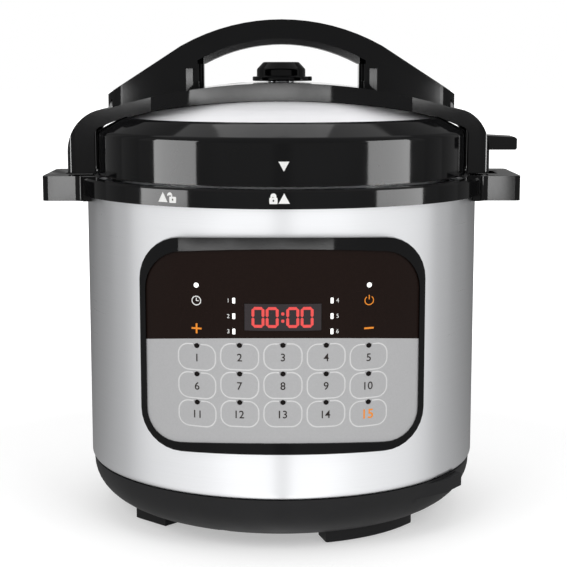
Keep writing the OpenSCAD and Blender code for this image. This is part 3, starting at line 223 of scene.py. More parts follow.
def film_material():
    """The printed film: dark above, light grey below, with a faint satin grain"""
    s = Shader("panel_film")
    _, y, z = s.axes()
    droop_here = s.math("MULTIPLY", s.math("ADD", FILM_OUT, y), ROW_DROOP)
    above = s.math("GREATER_THAN", s.math("ADD", z, droop_here), FILM_SPLIT_Z)
    fine = s.noise(900.0, 2.0)
    grey = s.mix(s.spread(fine), linear(179, 179, 180), linear(183, 183, 184))
    dark = s.mix(s.spread(fine), linear(26, 17, 14), linear(30, 20, 17))
    s.set(Base_Color=s.mix(above, grey, dark), Roughness=s.spread(s.noise(40.0, 4.0), 0.42, 0.48),
          Specular_IOR_Level=0.06)
    s.bump(fine, 0.06, 0.00003)
    return s.material


MATERIALS = {
    "base_plastic": surface("base_plastic", linear(30, 30, 31), 0.5, specular=0.18,
                            mottle=(90.0, 0.06), grain=(2600.0, 0.25, 0.00006)),
    "rubber_black": surface("rubber_black", linear(30, 30, 31), 0.8, specular=0.2,
                            mottle=(120.0, 0.1), grain=(1500.0, 0.3, 0.0001)),
    "steel_drum": brushed("steel_drum", linear(240, 241, 243), 0.3, 0.85, 9000.0),
    "steel_polished": brushed("steel_polished", linear(238, 238, 240), 0.42, 0.9, 5000.0, around=False),
    "steel_sheet": brushed("steel_sheet", linear(205, 206, 208), 0.35, 0.2, 3000.0),
    "gloss_black": surface("gloss_black", linear(10, 10, 11), 0.07, specular=0.1,
                           mottle=(30.0, 0.15), worn=(18.0, 0.02), grain=(220.0, 0.02, 0.0001)),
    "aluminium_cast": surface("aluminium_cast", linear(200, 201, 203), 0.42, 1.0,
                              mottle=(80.0, 0.06), grain=(900.0, 0.2, 0.0001)),
    "pot_coating": surface("pot_coating", linear(96, 97, 99), 0.45, 0.6,
                           mottle=(400.0, 0.1), grain=(1200.0, 0.15, 0.0001)),
    "spring_steel": surface("spring_steel", linear(190, 192, 195), 0.3, 1.0, mottle=(150.0, 0.08)),
    "ceramic": surface("ceramic", linear(228, 224, 214), 0.5, mottle=(200.0, 0.04), grain=(800.0, 0.2, 0.00008)),
    "switch_plastic": surface("switch_plastic", linear(62, 62, 64), 0.45,
                              mottle=(100.0, 0.06), grain=(1500.0, 0.1, 0.00006)),
    "board_green": surface("board_green", linear(44, 104, 62), 0.35,
                           mottle=(250.0, 0.12), grain=(600.0, 0.1, 0.00005)),
    "component_blue": surface("component_blue", linear(62, 96, 152), 0.35, mottle=(120.0, 0.1)),
    "display_red": surface("display_window", linear(52, 47, 49), 0.3, specular=0.15, mottle=(60.0, 0.04)),
    "light_white": surface("light_white", linear(236, 236, 232), 0.3, mottle=(200.0, 0.02)),
    "brass_pins": surface("brass_pins", linear(214, 186, 108), 0.28, 1.0, mottle=(150.0, 0.06)),
    "wire_red": surface("wire_red", linear(178, 52, 50), 0.5, mottle=(120.0, 0.06), grain=(700.0, 0.1, 0.00006)),
    "silicone": surface("silicone", linear(222, 222, 216), 0.45, mottle=(90.0, 0.03), grain=(500.0, 0.1, 0.0001)),
    "float_red": surface("float_red", linear(186, 58, 46), 0.35, mottle=(120.0, 0.05)),
}
MATERIALS["film_dark"] = MATERIALS["film_grey"] = film_material()  # one film, printed in two colours


def dress(obj, material):
    """Puts one material on the whole of an object"""
    obj.data.materials.clear()
    obj.data.materials.append(material)
    for polygon in obj.data.polygons:
        polygon.material_index = 0


for node_name, node_object in NODES.items():
    dress(node_object, MATERIALS[SLOT_OF[node_name]])


# ---------------------------------------------------------------- geometry helpers

VISIBLE = {}              # pieces that stand for a node, by the node's name, and pieces split off from them
MERGE, WORD_MERGE = 1e-6, 1e-7  # points closer than this are one, in a node and in a word
FLAT_ANGLE = 0.5          # degrees; faces that meet at less are one flat face
SHARP_ANGLE = 30.0        # degrees; edges sharper than this are rounded
SMOOTH_ANGLE = 35.0       # degrees; edges sharper than this show as edges on the small pieces
STRIP_SMOOTH_ANGLE = 50.0  # the same for printed strips
LEVEL_NORMAL = 0.9        # a face is level when its normal is at least this upright
SECTOR_CUTS = 12          # upright planes through the axis, which cut a flat ring into sectors
MANY_CORNERS = 30         # a flat face with more corners than this may run round an opening
INK, INK_SUNK = 0.00006, 0.00002  # how far ink stands out of its wall and how far it reaches in
LAMP_INK, MARK_INK, KEYHOLE_INK, DIGIT_INK, WORD_INK = 0.00012, 0.0001, 0.00013, 0.00008, 0.00005


def new_piece(name, bm, body, material, smooth=SMOOTH_ANGLE):
    """A visible piece made from a bmesh, which rides on a body"""
    mesh = bpy.data.meshes.new(name)
    bmesh.ops.recalc_face_normals(bm, faces=bm.faces)
    bm.to_mesh(mesh)
    bm.free()
    mesh.shade_smooth()
    mesh.set_sharp_from_angle(angle=math.radians(smooth))
    obj = bpy.data.objects.new(name, mesh)
    bpy.context.scene.collection.objects.link(obj)
    dress(obj, material)
    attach(obj, body)
    return obj


def apply_modifiers(obj):
    """Puts the result of an object's modifiers into its mesh and leaves none"""
    bpy.context.view_layer.update()
    graph = bpy.context.evaluated_depsgraph_get()
    mesh = bpy.data.meshes.new_from_object(obj.evaluated_get(graph))
    obj.modifiers.clear()
    obj.data = mesh


def cut_flats(mesh):
    """Cuts flat faces into sectors, because one that runs round an opening can be filled in as a whole disc"""
    bm = bmesh.new()
    bm.from_mesh(mesh)
    for k in range(SECTOR_CUTS):
        turn = math.radians((k + 0.5) * 180 / SECTOR_CUTS)
        flats = [f for f in bm.faces if len(f.verts) > MANY_CORNERS and abs(f.normal.z) > LEVEL_NORMAL]
        edges = dict.fromkeys(e for f in flats for e in f.edges)
        verts = dict.fromkeys(v for f in flats for v in f.verts)
        bmesh.ops.bisect_plane(bm, geom=[*verts, *edges, *flats], dist=MERGE, plane_co=(0, 0, 0),
                               plane_no=(math.cos(turn), math.sin(turn), 0))
    bm.to_mesh(mesh)
    bm.free()


def rounded(node, width):
    """A copy of a node with its sharp edges rounded, which stands for the node"""
    mesh = NODES[node].data.copy()
    bm = bmesh.new()
    bm.from_mesh(mesh)
    bmesh.ops.remove_doubles(bm, verts=bm.verts, dist=MERGE)
    bmesh.ops.dissolve_limit(bm, angle_limit=math.radians(FLAT_ANGLE), verts=bm.verts, edges=bm.edges)
    bm.to_mesh(mesh)
    bm.free()
    mesh.shade_smooth()
    obj = bpy.data.objects.new(node + "_rounded", mesh)
    bpy.context.scene.collection.objects.link(obj)
    bevel = obj.modifiers.new("edges", "BEVEL")
    bevel.width = width
    bevel.segments = 2
    bevel.limit_method = "ANGLE"
    bevel.angle_limit = math.radians(SHARP_ANGLE)
    apply_modifiers(obj)
    cut_flats(obj.data)
    # Normals weighted by area keep the flat faces flat in reflections
    weighted = obj.modifiers.new("flats", "WEIGHTED_NORMAL")
    weighted.weight = 100
    apply_modifiers(obj)
    obj.data.name = obj.name
    dress(obj, MATERIALS[SLOT_OF[node]])
    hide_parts(node)
    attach(obj, BODY_OF[node])
    VISIBLE[node] = obj


def split_off(node, name, chosen):
    """Moves the chosen faces of a rounded piece into a piece of their own"""
    obj = VISIBLE[node]
    mesh = obj.data.copy()
    for data, keep in ((obj.data, False), (mesh, True)):
        bm = bmesh.new()
        bm.from_mesh(data)
        bmesh.ops.delete(bm, geom=[f for f in bm.faces if chosen(f.calc_center_median()) != keep], context="FACES")
        bm.to_mesh(data)
        bm.free()
    part = bpy.data.objects.new(name, mesh)
    mesh.name = name
    bpy.context.scene.collection.objects.link(part)
    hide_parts(node)
    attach(part, BODY_OF[node])
    VISIBLE[name] = part


def on_film(u, v, lift):
    """A point of the panel's artwork, in metres across and up, on the curved film"""
    r = FILM_OUT + lift
    return Vector((u, -math.sqrt(r * r - u * u), v))


def print_shape(name, outlines, place, body, material, thick=INK):
    """Ink or a thin inlay: closed outlines, each a list of (u, v), made into low plates that follow a curved wall"""
    bm = bmesh.new()
    for outline in outlines:
        top = [bm.verts.new(place(u, v, thick)) for u, v in outline]
        low = [bm.verts.new(place(u, v, -INK_SUNK)) for u, v in outline]
        bm.faces.new(top)
        n = len(outline)
        for i in range(n):
            bm.faces.new((low[i], low[(i + 1) % n], top[(i + 1) % n], top[i]))
    bmesh.ops.triangulate(bm, faces=[f for f in bm.faces if len(f.verts) > 4])
    new_piece(name, bm, body, material)


def ring_strip(name, path, widths, place, body, material, closed=True):
    """A low rounded strip along a path of (u, v); widths lists (offset, lift) across the strip"""
    bm = bmesh.new()
    n = len(path)
    rows = []
    for i, (u, v) in enumerate(path):
        if closed:
            a, b = path[i - 1], path[(i + 1) % n]
        else:
            a, b = path[max(i - 1, 0)], path[min(i + 1, n - 1)]
        du, dv = b[0] - a[0], b[1] - a[1]
        length = math.hypot(du, dv)
        nu, nv = dv / length, -du / length
        rows.append([bm.verts.new(place(u + nu * o, v + nv * o, lift)) for o, lift in widths])
    for i in range(n if closed else n - 1):
        a, b = rows[i], rows[(i + 1) % n]
        for k in range(len(widths) - 1):
            bm.faces.new((a[k], b[k], b[k + 1], a[k + 1]))
        bm.faces.new((a[-1], b[-1], b[0], a[0]))
    if not closed:
        bm.faces.new(rows[0])
        bm.faces.new(rows[-1])
    new_piece(name, bm, body, material, smooth=STRIP_SMOOTH_ANGLE)


def arc_points(cu, cv, r, start, end, steps):
    """Points along an arc from one angle to another, in degrees"""
    return [(cu + r * math.cos(math.radians(start + (end - start) * i / steps)),
             cv + r * math.sin(math.radians(start + (end - start) * i / steps))) for i in range(steps + 1)]


def round_rect(cu, cv, w, h, r, steps=8):
    """Outline of a rectangle with round corners, counter-clockwise from the right lower corner"""
    a, b = w / 2 - r, h / 2 - r
    return (arc_points(cu + a, cv - b, r, -90, 0, steps) + arc_points(cu + a, cv + b, r, 0, 90, steps)
            + arc_points(cu - a, cv + b, r, 90, 180, steps) + arc_points(cu - a, cv - b, r, 180, 270, steps))


def bar(x0, y0, x1, y1, width):
    """Outline of a straight stroke between two points"""
    du, dv = x1 - x0, y1 - y0
    length = math.hypot(du, dv)
    nu, nv = -dv / length * width / 2, du / length * width / 2
    return [(x0 + nu, y0 + nv), (x0 - nu, y0 - nv), (x1 - nu, y1 - nv), (x1 + nu, y1 + nv)]


def words(name, text, u, v, size, place, body, material, bold=0.0):
    """Digits set flat, then laid on a curved wall, centred on (u, v)"""
    curve = bpy.data.curves.new(name, "FONT")
    curve.body = text
    curve.size = size
    curve.align_x = "CENTER"
    curve.align_y = "CENTER"
    curve.resolution_u = 6
    curve.extrude = WORD_INK
    curve.offset = bold
    flat = bpy.data.objects.new(name, curve)
    bpy.context.scene.collection.objects.link(flat)
    bpy.context.view_layer.update()
    mesh = bpy.data.meshes.new_from_object(flat.evaluated_get(bpy.context.evaluated_depsgraph_get()))
    bpy.data.objects.remove(flat)
    bm = bmesh.new()
    bm.from_mesh(mesh)
    bpy.data.meshes.remove(mesh)
    low = min(p.co.y for p in bm.verts)
    high = max(p.co.y for p in bm.verts)
    left = min(p.co.x for p in bm.verts)
    right = max(p.co.x for p in bm.verts)
    for p in bm.verts:
        p.co = place(u + p.co.x - (left + right) / 2, v + p.co.y - (low + high) / 2, p.co.z)
    bmesh.ops.remove_doubles(bm, verts=bm.verts, dist=WORD_MERGE)
    new_piece(name, bm, body, material)


def dense(path, step=0.0015):
    """The closed path with points added so that none of its stretches is longer than step"""
    out = []
    for i, (u, v) in enumerate(path):
        u2, v2 = path[(i + 1) % len(path)]
        n = max(1, math.ceil(math.hypot(u2 - u, v2 - v) / step))
        out += [(u + (u2 - u) * k / n, v + (v2 - v) * k / n) for k in range(n)]
    return out


# ---------------------------------------------------------------- panel artwork

INK_DARK = surface("ink_dark", linear(44, 38, 36), 0.5, specular=0.15, mottle=(500.0, 0.05))
INK_WHITE = surface("ink_white", linear(240, 240, 238), 0.5, specular=0.15, mottle=(500.0, 0.02))
INK_ORANGE = surface("ink_orange", linear(243, 147, 51), 0.5, specular=0.15, mottle=(500.0, 0.04))
OUTLINE = surface("key_outline", linear(214, 214, 214), 0.5, specular=0.15, mottle=(400.0, 0.03))
DIGIT = glow("digit_segment", linear(236, 62, 58), 1.0)
LAMP_OFF = surface("lamp_off", linear(14, 9, 8), 0.35, specular=0.1, mottle=(300.0, 0.1))
LAMP_ON = glow("lamp_on", linear(250, 250, 248), 0.75, linear(230, 230, 228))

COLUMNS, KEYS = 5, 15
COLUMN_PITCH, ROW_PITCH = 0.0264, 0.01775
LOWEST_ROW = 0.0935
KEY_W, KEY_H, KEY_CORNER = 0.023, 0.0158, 0.0064
UPPER_X = 2 * COLUMN_PITCH           # the upper keys stand over the outer columns
UPPER_W, UPPER_H, UPPER_CORNER = 0.0202, 0.0116, 0.0031
PANEL_Z = 0.068                      # lower edge of the panel
SIGN_Z, DIAL_Z, LAMP_Z = 0.079, 0.096, 0.1036  # plus and minus, the keys above them, and the round lamps, over PANEL_Z
BAR_Z = (0.0762, 0.0856, 0.0952)     # the lamp bars beside the display, over PANEL_Z
BAR_X, LEVEL_X = 0.0298, 0.0332      # the bars and the numbers beside them
BAR_W, BAR_H, BAR_CORNER = 0.0018, 0.0035, 0.0005
KEY_LAMP, ROUND_LAMP = 0.003, 0.0031  # across the lamps of the programme keys and of the upper keys
NUMBER_SIZE, LAST_NUMBER_SIZE, LEVEL_SIZE = 0.0068, 0.0082, 0.0036
DISPLAY_Z = PANEL_Z + 0.0853
STRIP_GAP = 0.0017                   # the outline of a key stops this far from its lamp
SIGN, SIGN_LINE = 0.0031, 0.0011     # half the width of the plus sign, and its line
DIAL, DIAL_LINE = 0.0027, 0.0005     # radius of the dial and of the open ring, and the dial's hands


def droop(u):
    """How far the artwork steps down at u, so that its rows look level on the curved panel"""
    return ROW_DROOP * (FILM_OUT - math.sqrt(FILM_OUT * FILM_OUT - u * u))


def key_place(i):
    """Centre of a programme key, counted from the upper left one"""
    u = (i % COLUMNS - 2) * COLUMN_PITCH
    return u, LOWEST_ROW + (2 - i // COLUMNS) * ROW_PITCH - droop(u)


# Cross-sections of printed strips: (offset, lift) from one edge to the other
STRIP = [(-0.00045, -0.00003), (-0.00038, 0.00008), (0.0, 0.00012), (0.00038, 0.00008), (0.00045, -0.00003)]
COVER = [(-0.0004, -0.00002), (-0.00035, 0.00003), (0.00035, 0.00003), (0.0004, -0.00002)]
THIN = [(-0.00028, -0.00002), (-0.00028, 0.00005), (0.00028, 0.00005), (0.00028, -0.00002)]

for i in range(KEYS):
    u, v = key_place(i)
    last = i == KEYS - 1  # the orange one, with a larger number
    name = f"key_{i + 1}"
    outline = dense(round_rect(u, v, KEY_W + 0.0002, KEY_H + 0.0002, KEY_CORNER))
    dot = (u, v + KEY_H / 2 - 0.0006)
    near = [k for k, p in enumerate(outline) if math.hypot(p[0] - dot[0], p[1] - dot[1]) < STRIP_GAP]
    first = next(k for k in near if (k + 1) % len(outline) not in near)
    count = len(outline) - len(near)
    path = [outline[(first + 1 + k) % len(outline)] for k in range(count)]
    ring_strip(f"outline_{i + 1}", path, STRIP, on_film, "base", OUTLINE, closed=False)
    words(f"number_{i + 1}", str(i + 1), u, v - 0.0003, LAST_NUMBER_SIZE if last else NUMBER_SIZE, on_film, name,
          INK_ORANGE if last else INK_DARK, bold=0.0001 if last else 0.00005)
    print_shape(f"lamp_{i + 1}", [round_rect(*dot, KEY_LAMP, KEY_LAMP, KEY_LAMP / 2, 6)], on_film, "base",
                LAMP_OFF, thick=LAMP_INK)

# Strips in the film's own colour hide the gaps round the upper four keys
for side, names in ((-1, ("plus", "timer")), (1, ("minus", "cancel"))):
    for name, z in zip(names, (SIGN_Z, DIAL_Z)):
        outline = dense(round_rect(side * UPPER_X, PANEL_Z + z - droop(UPPER_X), UPPER_W, UPPER_H, UPPER_CORNER))
        ring_strip(f"{name}_film_edge", outline, COVER, on_film, "base", MATERIALS["film_dark"])

for side, name in ((-1, "timer"), (1, "cancel")):
    lamp = round_rect(side * UPPER_X, PANEL_Z + LAMP_Z, ROUND_LAMP, ROUND_LAMP, ROUND_LAMP / 2, 6)
    print_shape(f"{name}_lamp", [lamp], on_film, "base", LAMP_ON, thick=LAMP_INK)
    for k, z in enumerate(BAR_Z):
        print_shape(f"{name}_bar_{k + 1}", [round_rect(side * BAR_X, PANEL_Z + z, BAR_W, BAR_H, BAR_CORNER, 3)], on_film,
                    "base", LAMP_ON, thick=LAMP_INK)
        words(f"{name}_level_{k + 1}", str((2 - k) + (1 if side < 0 else 4)), side * LEVEL_X, PANEL_Z + z, LEVEL_SIZE,
              on_film, "base", INK_WHITE)

u, v = -UPPER_X, PANEL_Z + SIGN_Z - droop(UPPER_X)
print_shape("plus_sign", [bar(u - SIGN, v, u + SIGN, v, SIGN_LINE), bar(u, v - SIGN, u, v - 0.0005, SIGN_LINE),
                          bar(u, v + 0.0005, u, v + SIGN, SIGN_LINE)], on_film, "plus_key", INK_ORANGE)
print_shape("minus_sign", [bar(UPPER_X - 0.003, v, UPPER_X + 0.003, v, SIGN_LINE)], on_film, "minus_key",
            INK_ORANGE)

v = PANEL_Z + DIAL_Z - droop(UPPER_X) + 0.0002
ring_strip("timer_dial", arc_points(-UPPER_X, v, DIAL, 0, 345, 23), THIN, on_film, "timer_key",
           INK_WHITE)
print_shape("timer_hands", [bar(-UPPER_X, v - 0.00025, -UPPER_X, v + 0.0018, DIAL_LINE),
                            bar(-UPPER_X + 0.00025, v, -UPPER_X + 0.0015, v, DIAL_LINE)],
            on_film, "timer_key", INK_WHITE)
ring_strip("cancel_ring", arc_points(UPPER_X, v, DIAL, 125, 415, 24), THIN, on_film, "cancel_key",
           INK_ORANGE, closed=False)
print_shape("cancel_stroke", [bar(UPPER_X, v + 0.0006, UPPER_X, v + 0.0034, 0.0006)], on_film, "cancel_key",
            INK_ORANGE)


def segment(u0, v0, u1, v1, half):
    """A stroke of a seven-segment digit, with pointed ends"""
    du, dv = u1 - u0, v1 - v0
    length = math.hypot(du, dv)
    au, av = du / length, dv / length
    nu, nv = -av * half, au * half
    cut = half * 0.85
    return [(u0, v0), (u0 + au * cut - nu, v0 + av * cut - nv), (u1 - au * cut - nu, v1 - av * cut - nv), (u1, v1),
            (u1 - au * cut + nu, v1 - av * cut + nv), (u0 + au * cut + nu, v0 + av * cut + nv)]


DIGIT_W, DIGIT_H = 0.0061, 0.0110
STROKE, SPLIT = 0.00088, 0.0001  # half the width of a segment, and the gap at its ends
for k, u in enumerate((-0.01510, -0.00652, 0.00593, 0.01463)):
    a, b = DIGIT_W / 2, DIGIT_H / 2
    strokes = [segment(u - a + SPLIT, DISPLAY_Z + side * b, u + a - SPLIT, DISPLAY_Z + side * b, STROKE)
               for side in (-1, 1)]
    for side in (-1, 1):
        for low, high in ((-b + SPLIT, -SPLIT), (SPLIT, b - SPLIT)):
            strokes.append(segment(u + side * a, DISPLAY_Z + low, u + side * a, DISPLAY_Z + high, STROKE))
    print_shape(f"digit_{k + 1}", strokes, on_film, "base", DIGIT, thick=DIGIT_INK)
for k, dv in enumerate((-0.0022, 0.0022)):
    print_shape(f"colon_{k + 1}", [round_rect(-0.0001, DISPLAY_Z + dv, 0.0019, 0.0019, 0.0006, 3)], on_film, "base",
                DIGIT, thick=DIGIT_INK)


# ---------------------------------------------------------------- lock marks on the rim and the lid

def on_wall(radius, azimuth):
    """Wraps artwork round an upright wall about an azimuth; u is the distance along the wall"""
    def place(u, v, lift):
        a = math.radians(azimuth) + u / radius
        return Vector(((radius + lift) * math.sin(a), -(radius + lift) * math.cos(a), v))
    return place


def triangle(v0, v1, w):
    """Outline of an arrowhead with its base at v0 and its point at v1"""
    return [(-w / 2, v0), (w / 2, v0), (0.0, v1)] if v1 > v0 else [(0.0, v1), (w / 2, v0), (-w / 2, v0)]


def padlock(name, u, v, place, open_shackle):
    """A padlock standing on (u, v), with a keyhole; an open shackle is moved aside"""
    body = round_rect(u, v + 0.0019, 0.0049, 0.0038, 0.0005, 3)
    cu = u - 0.0021 if open_shackle else u
    cv = v + 0.0046
    outer, inner = 0.0018, 0.0010
    end = v + (0.0042 if open_shackle else 0.0037)
    shackle = (arc_points(cu, cv, outer, 180, 0, 14) + [(cu + outer, v + 0.0037), (cu + inner, v + 0.0037)]
               + arc_points(cu, cv, inner, 0, 180, 10) + [(cu - inner, end), (cu - outer, end)])
    print_shape(name, [body, shackle], place, "base", INK_WHITE, thick=MARK_INK)
    print_shape(name + "_keyhole", [round_rect(u, v + 0.0020, 0.0009, 0.0012, 0.0004, 4)], place, "base",
                MATERIALS["gloss_black"], thick=KEYHOLE_INK)


RIM_R, RING_R = 0.1375, 0.1255  # the walls of the upper rim and of the lid ring
locked = on_wall(RIM_R, 0.3)
print_shape("lock_arrow", [triangle(0.2224, 0.2286, 0.0068)], locked, "base", INK_WHITE,
            thick=MARK_INK)
padlock("lock_symbol", -0.0064, 0.2222, locked, False)
unlocked = on_wall(RIM_R, -32.1)
print_shape("open_arrow", [triangle(0.2216, 0.2277, 0.0068)], unlocked, "base", INK_WHITE,
            thick=MARK_INK)
padlock("open_symbol", 0.0072, 0.2213, unlocked, True)
print_shape("lid_arrow", [triangle(0.2467, 0.2407, 0.0066)], on_wall(RING_R, 0.3), "lid", INK_WHITE,
            thick=MARK_INK)


# ---------------------------------------------------------------- rounded pieces and the sensor's spring

EDGE_WIDTHS = {"upper_rim": 0.0006, "lid_ring": 0.0006, "lid_bracket": 0.0015, "lid_handle": 0.0010,
               "handle_insert": 0.0008, "valve_knob": 0.0007, "panel_bezel": 0.0008, "base_cover": 0.0006}
HANDLES_FROM = 0.1392    # the side handles begin this far from the axis

for node, width in EDGE_WIDTHS.items():
    rounded(node, width)
split_off("upper_rim", "side_handles", lambda p: math.hypot(p.x, p.y) > HANDLES_FROM)

coil = bmesh.new()
coil.from_mesh(NODES["sensor_spring"].data)
spring = new_piece("sensor_spring_coil", coil, BODY_OF["sensor_spring"],
                   MATERIALS["spring_steel"])
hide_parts("sensor_spring")
low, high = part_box("sensor_spring")
tuple(low)
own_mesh(spring)


# ---------------------------------------------------------------- floor, lights and camera

# How bright the floor is in reflections: (degrees from straight ahead, level)
FLOOR_LEVELS = ((0, 0.92), (3, 0.92), (8, 1.25), (35, 1.25), (50, 1.04), (84, 0.82), (104, 0.49), (130, 0.29),
                (158, 0.17))
FLOOR_SIZE = 30
FLOOR_ORIGIN_Y = -0.105       # the point that those degrees are measured about
FLOOR_TOP_LEVEL = 2.0         # the ramp's colours are shares of this
SOFT_LEVEL = 0.62             # what diffuse light sees of the floor and of the world
SHOWN_NEAR, SHOWN_FAR = 0.42, 1.0  # the floor's own light where the camera sees it, near the object and far from it
NEAR_R, FAR_R = 0.3, 0.9
CARD_PIECES = 8
WATTS_PER_M2 = 4              # for one level of a softbox


def stage_mesh(name, bm, material):
    """A piece of the studio made from a bmesh"""
    mesh = bpy.data.meshes.new(name)
    bm.to_mesh(mesh)
    bm.free()
    obj = bpy.data.objects.new(name, mesh)
    bpy.context.scene.collection.objects.link(obj)
    obj.data.materials.append(material)
    return obj


def floor_plane():
    """The plain pale floor that the object stands on"""
    bm = bmesh.new()
    half = FLOOR_SIZE / 2
    bm.faces.new([bm.verts.new(p) for p in ((-half, -half, 0), (half, -half, 0), (half, half, 0), (-half, half, 0))])
    stage_mesh("floor", bm, floor_material())


def light_path(tree, ray):
    """One for the named kind of ray and nought for the others"""
    return tree.nodes.new("ShaderNodeLightPath").outputs[ray]


def floor_material():
    """White round the object's soft shadow; in reflections it darkens towards the sides and the back"""
    s = Shader("floor")
    s.tree.nodes.remove(s.bsdf)
    x, y, _ = s.axes()
    ahead = s.math("SUBTRACT", FLOOR_ORIGIN_Y, y)
    angle = s.math("DIVIDE", s.math("ABSOLUTE", s.math("ARCTAN2", x, ahead)), math.pi)
    round_it = s.tree.nodes.new("ShaderNodeValToRGB")
    s.link(angle, round_it.inputs["Fac"])
    stops = round_it.color_ramp.elements
    for k, (azimuth, level) in enumerate(FLOOR_LEVELS):
        stop = stops[k] if k < 2 else stops.new(azimuth / 180)
        stop.position = azimuth / 180
        stop.color = (level / FLOOR_TOP_LEVEL,) * 3 + (1.0,)
    diffuse = s.tree.nodes.new("ShaderNodeBsdfDiffuse")
    diffuse.inputs[0].default_value = (SOFT_LEVEL,) * 3 + (1.0,)
    shown = s.tree.nodes.new("ShaderNodeEmission")
    whitening = s.ramp(s.radius(x, y), NEAR_R, FAR_R, SHOWN_NEAR, SHOWN_FAR)
    s.link(s.math("MULTIPLY", light_path(s.tree, "Is Camera Ray"), whitening), shown.inputs["Strength"])
    add = s.tree.nodes.new("ShaderNodeAddShader")
    s.link(diffuse.outputs[0], add.inputs[0])
    s.link(shown.outputs[0], add.inputs[1])
    mirrored = s.tree.nodes.new("ShaderNodeEmission")
    s.link(round_it.outputs["Color"], mirrored.inputs["Color"])
    mirrored.inputs["Strength"].default_value = FLOOR_TOP_LEVEL
    choose = s.tree.nodes.new("ShaderNodeMixShader")
    s.link(light_path(s.tree, "Is Glossy Ray"), choose.inputs[0])
    s.link(add.outputs[0], choose.inputs[1])
    s.link(mirrored.outputs[0], choose.inputs[2])
    s.link(choose.outputs[0], s.output.inputs["Surface"])
    return s.material


def world():
    """White where it is seen straight on or in a reflection, and a plain soft light otherwise"""
    scene_world = bpy.data.worlds.new("studio")
    scene_world.use_nodes = True
    tree = scene_world.node_tree
    tree.nodes.clear()
    out = tree.nodes.new("ShaderNodeOutputWorld")
    background = tree.nodes.new("ShaderNodeBackground")
    background.inputs["Color"].default_value = (1.0, 1.0, 1.0, 1.0)
    level = tree.nodes.new("ShaderNodeMapRange")
    tree.links.new(light_path(tree, "Is Diffuse Ray"), level.inputs["Value"])
    level.inputs["To Min"].default_value = 1.0
    level.inputs["To Max"].default_value = SOFT_LEVEL
    tree.links.new(level.outputs[0], background.inputs["Strength"])
    tree.links.new(background.outputs[0], out.inputs["Surface"])
    bpy.context.scene.world = scene_world


def card_material(name, level):
    """Plain light of one level"""
    material = bpy.data.materials.new(name)
    material.use_nodes = True
    tree = material.node_tree
    tree.nodes.clear()
    out = tree.nodes.new("ShaderNodeOutputMaterial")
    emission = tree.nodes.new("ShaderNodeEmission")
    emission.inputs["Strength"].default_value = level
    tree.links.new(emission.outputs[0], out.inputs["Surface"])
    return material


def card(name, azimuths, heights, distance, level):
    """A curved studio card about the object's axis that shows only in reflections"""
    bm = bmesh.new()
    rows = []
    for i in range(CARD_PIECES + 1):
        a = math.radians(azimuths[0] + (azimuths[1] - azimuths[0]) * i / CARD_PIECES)
        rows.append([bm.verts.new((distance * math.sin(a), -distance * math.cos(a), z)) for z in heights])
    for a, b in zip(rows, rows[1:]):
        bm.faces.new((a[0], b[0], b[1], a[1]))
    obj = stage_mesh(name, bm, card_material(name, level))
    for ray in ("camera", "diffuse", "transmission", "volume_scatter", "shadow"):
        setattr(obj, "visible_" + ray, False)


def area_light(name, place, target, size, power):
    """A soft lamp that doesn't show itself"""
    light = bpy.data.lights.new(name, "AREA")
    light.shape = "RECTANGLE"
    light.size, light.size_y = size
    light.energy = power
    obj = bpy.data.objects.new(name, light)
    obj.location = place
    obj.rotation_euler = (Vector(target) - Vector(place)).to_track_quat("-Z", "Y").to_euler()
    bpy.context.scene.collection.objects.link(obj)
    obj.visible_camera = False
    obj.visible_glossy = False


def softbox(name, azimuths, heights, distance, level, nodes, pieces=1):
    """A lit sheet about the object's axis that shows only in the gloss of the given nodes"""
    shown_in = bpy.data.collections.new(name)
    for node in nodes:
        shown_in.objects.link(VISIBLE.get(node) or NODES[node])
    step = math.radians(azimuths[1] - azimuths[0]) / pieces
    for k in range(pieces):
        a = math.radians(azimuths[0]) + step * (k + 0.5)
        light = bpy.data.lights.new(f"{name}_{k + 1}", "AREA")
        light.shape = "RECTANGLE"
        light.size = 2 * distance * math.tan(step / 2)
        light.size_y = heights[1] - heights[0]
        light.energy = level * WATTS_PER_M2 * light.size * light.size_y
        obj = bpy.data.objects.new(light.name, light)
        obj.location = (distance * math.sin(a), -distance * math.cos(a), sum(heights) / 2)
        obj.rotation_euler = Vector((-math.sin(a), math.cos(a), 0.0)).to_track_quat("-Z", "Y").to_euler()
        bpy.context.scene.collection.objects.link(obj)
        obj.visible_camera = False
        obj.visible_diffuse = False
        obj.visible_shadow = False
        obj.light_linking.receiver_collection = shown_in


KEY_PLACE, KEY_TARGET, KEY_SIZE, KEY_WATTS = (1.6, -1.7, 1.8), (0, 0, 0.15), (1.6, 1.6), 26.0
FLAG_TOP, FLAG_R = 2.2, 2.0
FLAGS = ((94, 112, 0.5), (112, 135, 0.32), (135, 171, 0.19))  # from and to in degrees, level
BOX_R = 1.8
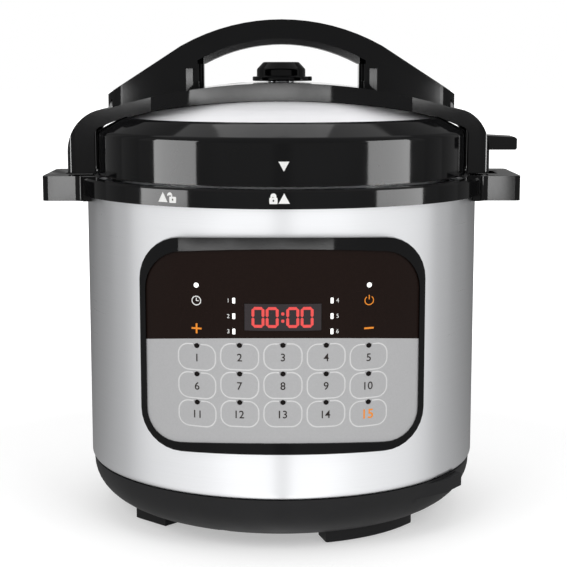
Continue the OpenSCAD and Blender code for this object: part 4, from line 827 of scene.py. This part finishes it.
# Lit sheets that show in the gloss of some pieces only: name, azimuths, heights, distance, level, nodes, parts
SOFTBOXES = (
    ("bracket_light", (-51, 27), (0.237, 0.268), BOX_R, 24.0, ("lid_bracket",), 3),
    ("insert_light", (-40, 35), (0.262, 0.3), BOX_R, 24.0, ("handle_insert",), 3),
    ("handle_end_left", (-24, -8.95), (0.228, 0.262), BOX_R, 24.0, ("lid_handle",), 1),
    ("handle_end_right", (9.65, 31), (0.228, 0.262), BOX_R, 24.0, ("lid_handle",), 1),
    ("arm_edge_left", (-96, -86), (0.1, 0.9), BOX_R, 24.0, ("lid_bracket",), 1),
    ("arm_edge_right", (86, 96), (0.1, 0.9), BOX_R, 24.0, ("lid_bracket",), 1),
    ("handle_top_light", (-36, 36), (1.5, 1.9), BOX_R, 12.0, ("lid_handle", "lid_bracket"), 3),
    ("slope_light", (163, 200), (2.05, 2.95), 1.5, 1.3, ("lid_ring",), 2),
    ("dome_light", (145, 215), (0.55, 2.6), BOX_R, 1.1, ("lid_shell",), 3),
    ("bezel_light", (-55, 26), (0.048, 0.064), 1.2, 14.0, ("panel_bezel",), 3),
)

world()
floor_plane()
for side, name in ((-1, "left"), (1, "right")):
    area_light(f"key_{name}", (side * KEY_PLACE[0], *KEY_PLACE[1:]), KEY_TARGET, KEY_SIZE, KEY_WATTS)
area_light("top", (0, 0.3, 2.4), (0, 0, 0.2), (2.0, 2.0), 12.0)
for side, name in ((-1, "left"), (1, "right")):
    for k, (low, high, level) in enumerate(FLAGS):
        card(f"flag_{name}_{k + 1}", (side * low, side * high), (-0.01, FLAG_TOP), FLAG_R, level)
    softbox(f"softbox_{name}", sorted((side * 51, side * 81)), (0.03, 0.9), BOX_R, 19.0, ("upper_rim", "lid_ring"))
    softbox(f"handle_light_{name}", sorted((side * 11.5, side * 14.0)), (0.04, 0.2), BOX_R, 24.0, ("side_handles",))
for settings in SOFTBOXES:
    softbox(*settings)

CAMERA_TURN, CAMERA_TILT = math.radians(-0.45), math.radians(81.35)
camera = bpy.data.cameras.new("photo_view")
camera.sensor_width = 36.0
camera.lens = 92.44
view = bpy.data.objects.new("photo_view", camera)
view.location = Matrix.Rotation(CAMERA_TURN, 3, "Z") @ Vector((0.0014, -1.003, 0.306))
view.rotation_euler = (CAMERA_TILT, 0.0, CAMERA_TURN)
bpy.context.scene.collection.objects.link(view)
bpy.context.scene.camera = view
bpy.context.scene.view_settings.view_transform = "Standard"
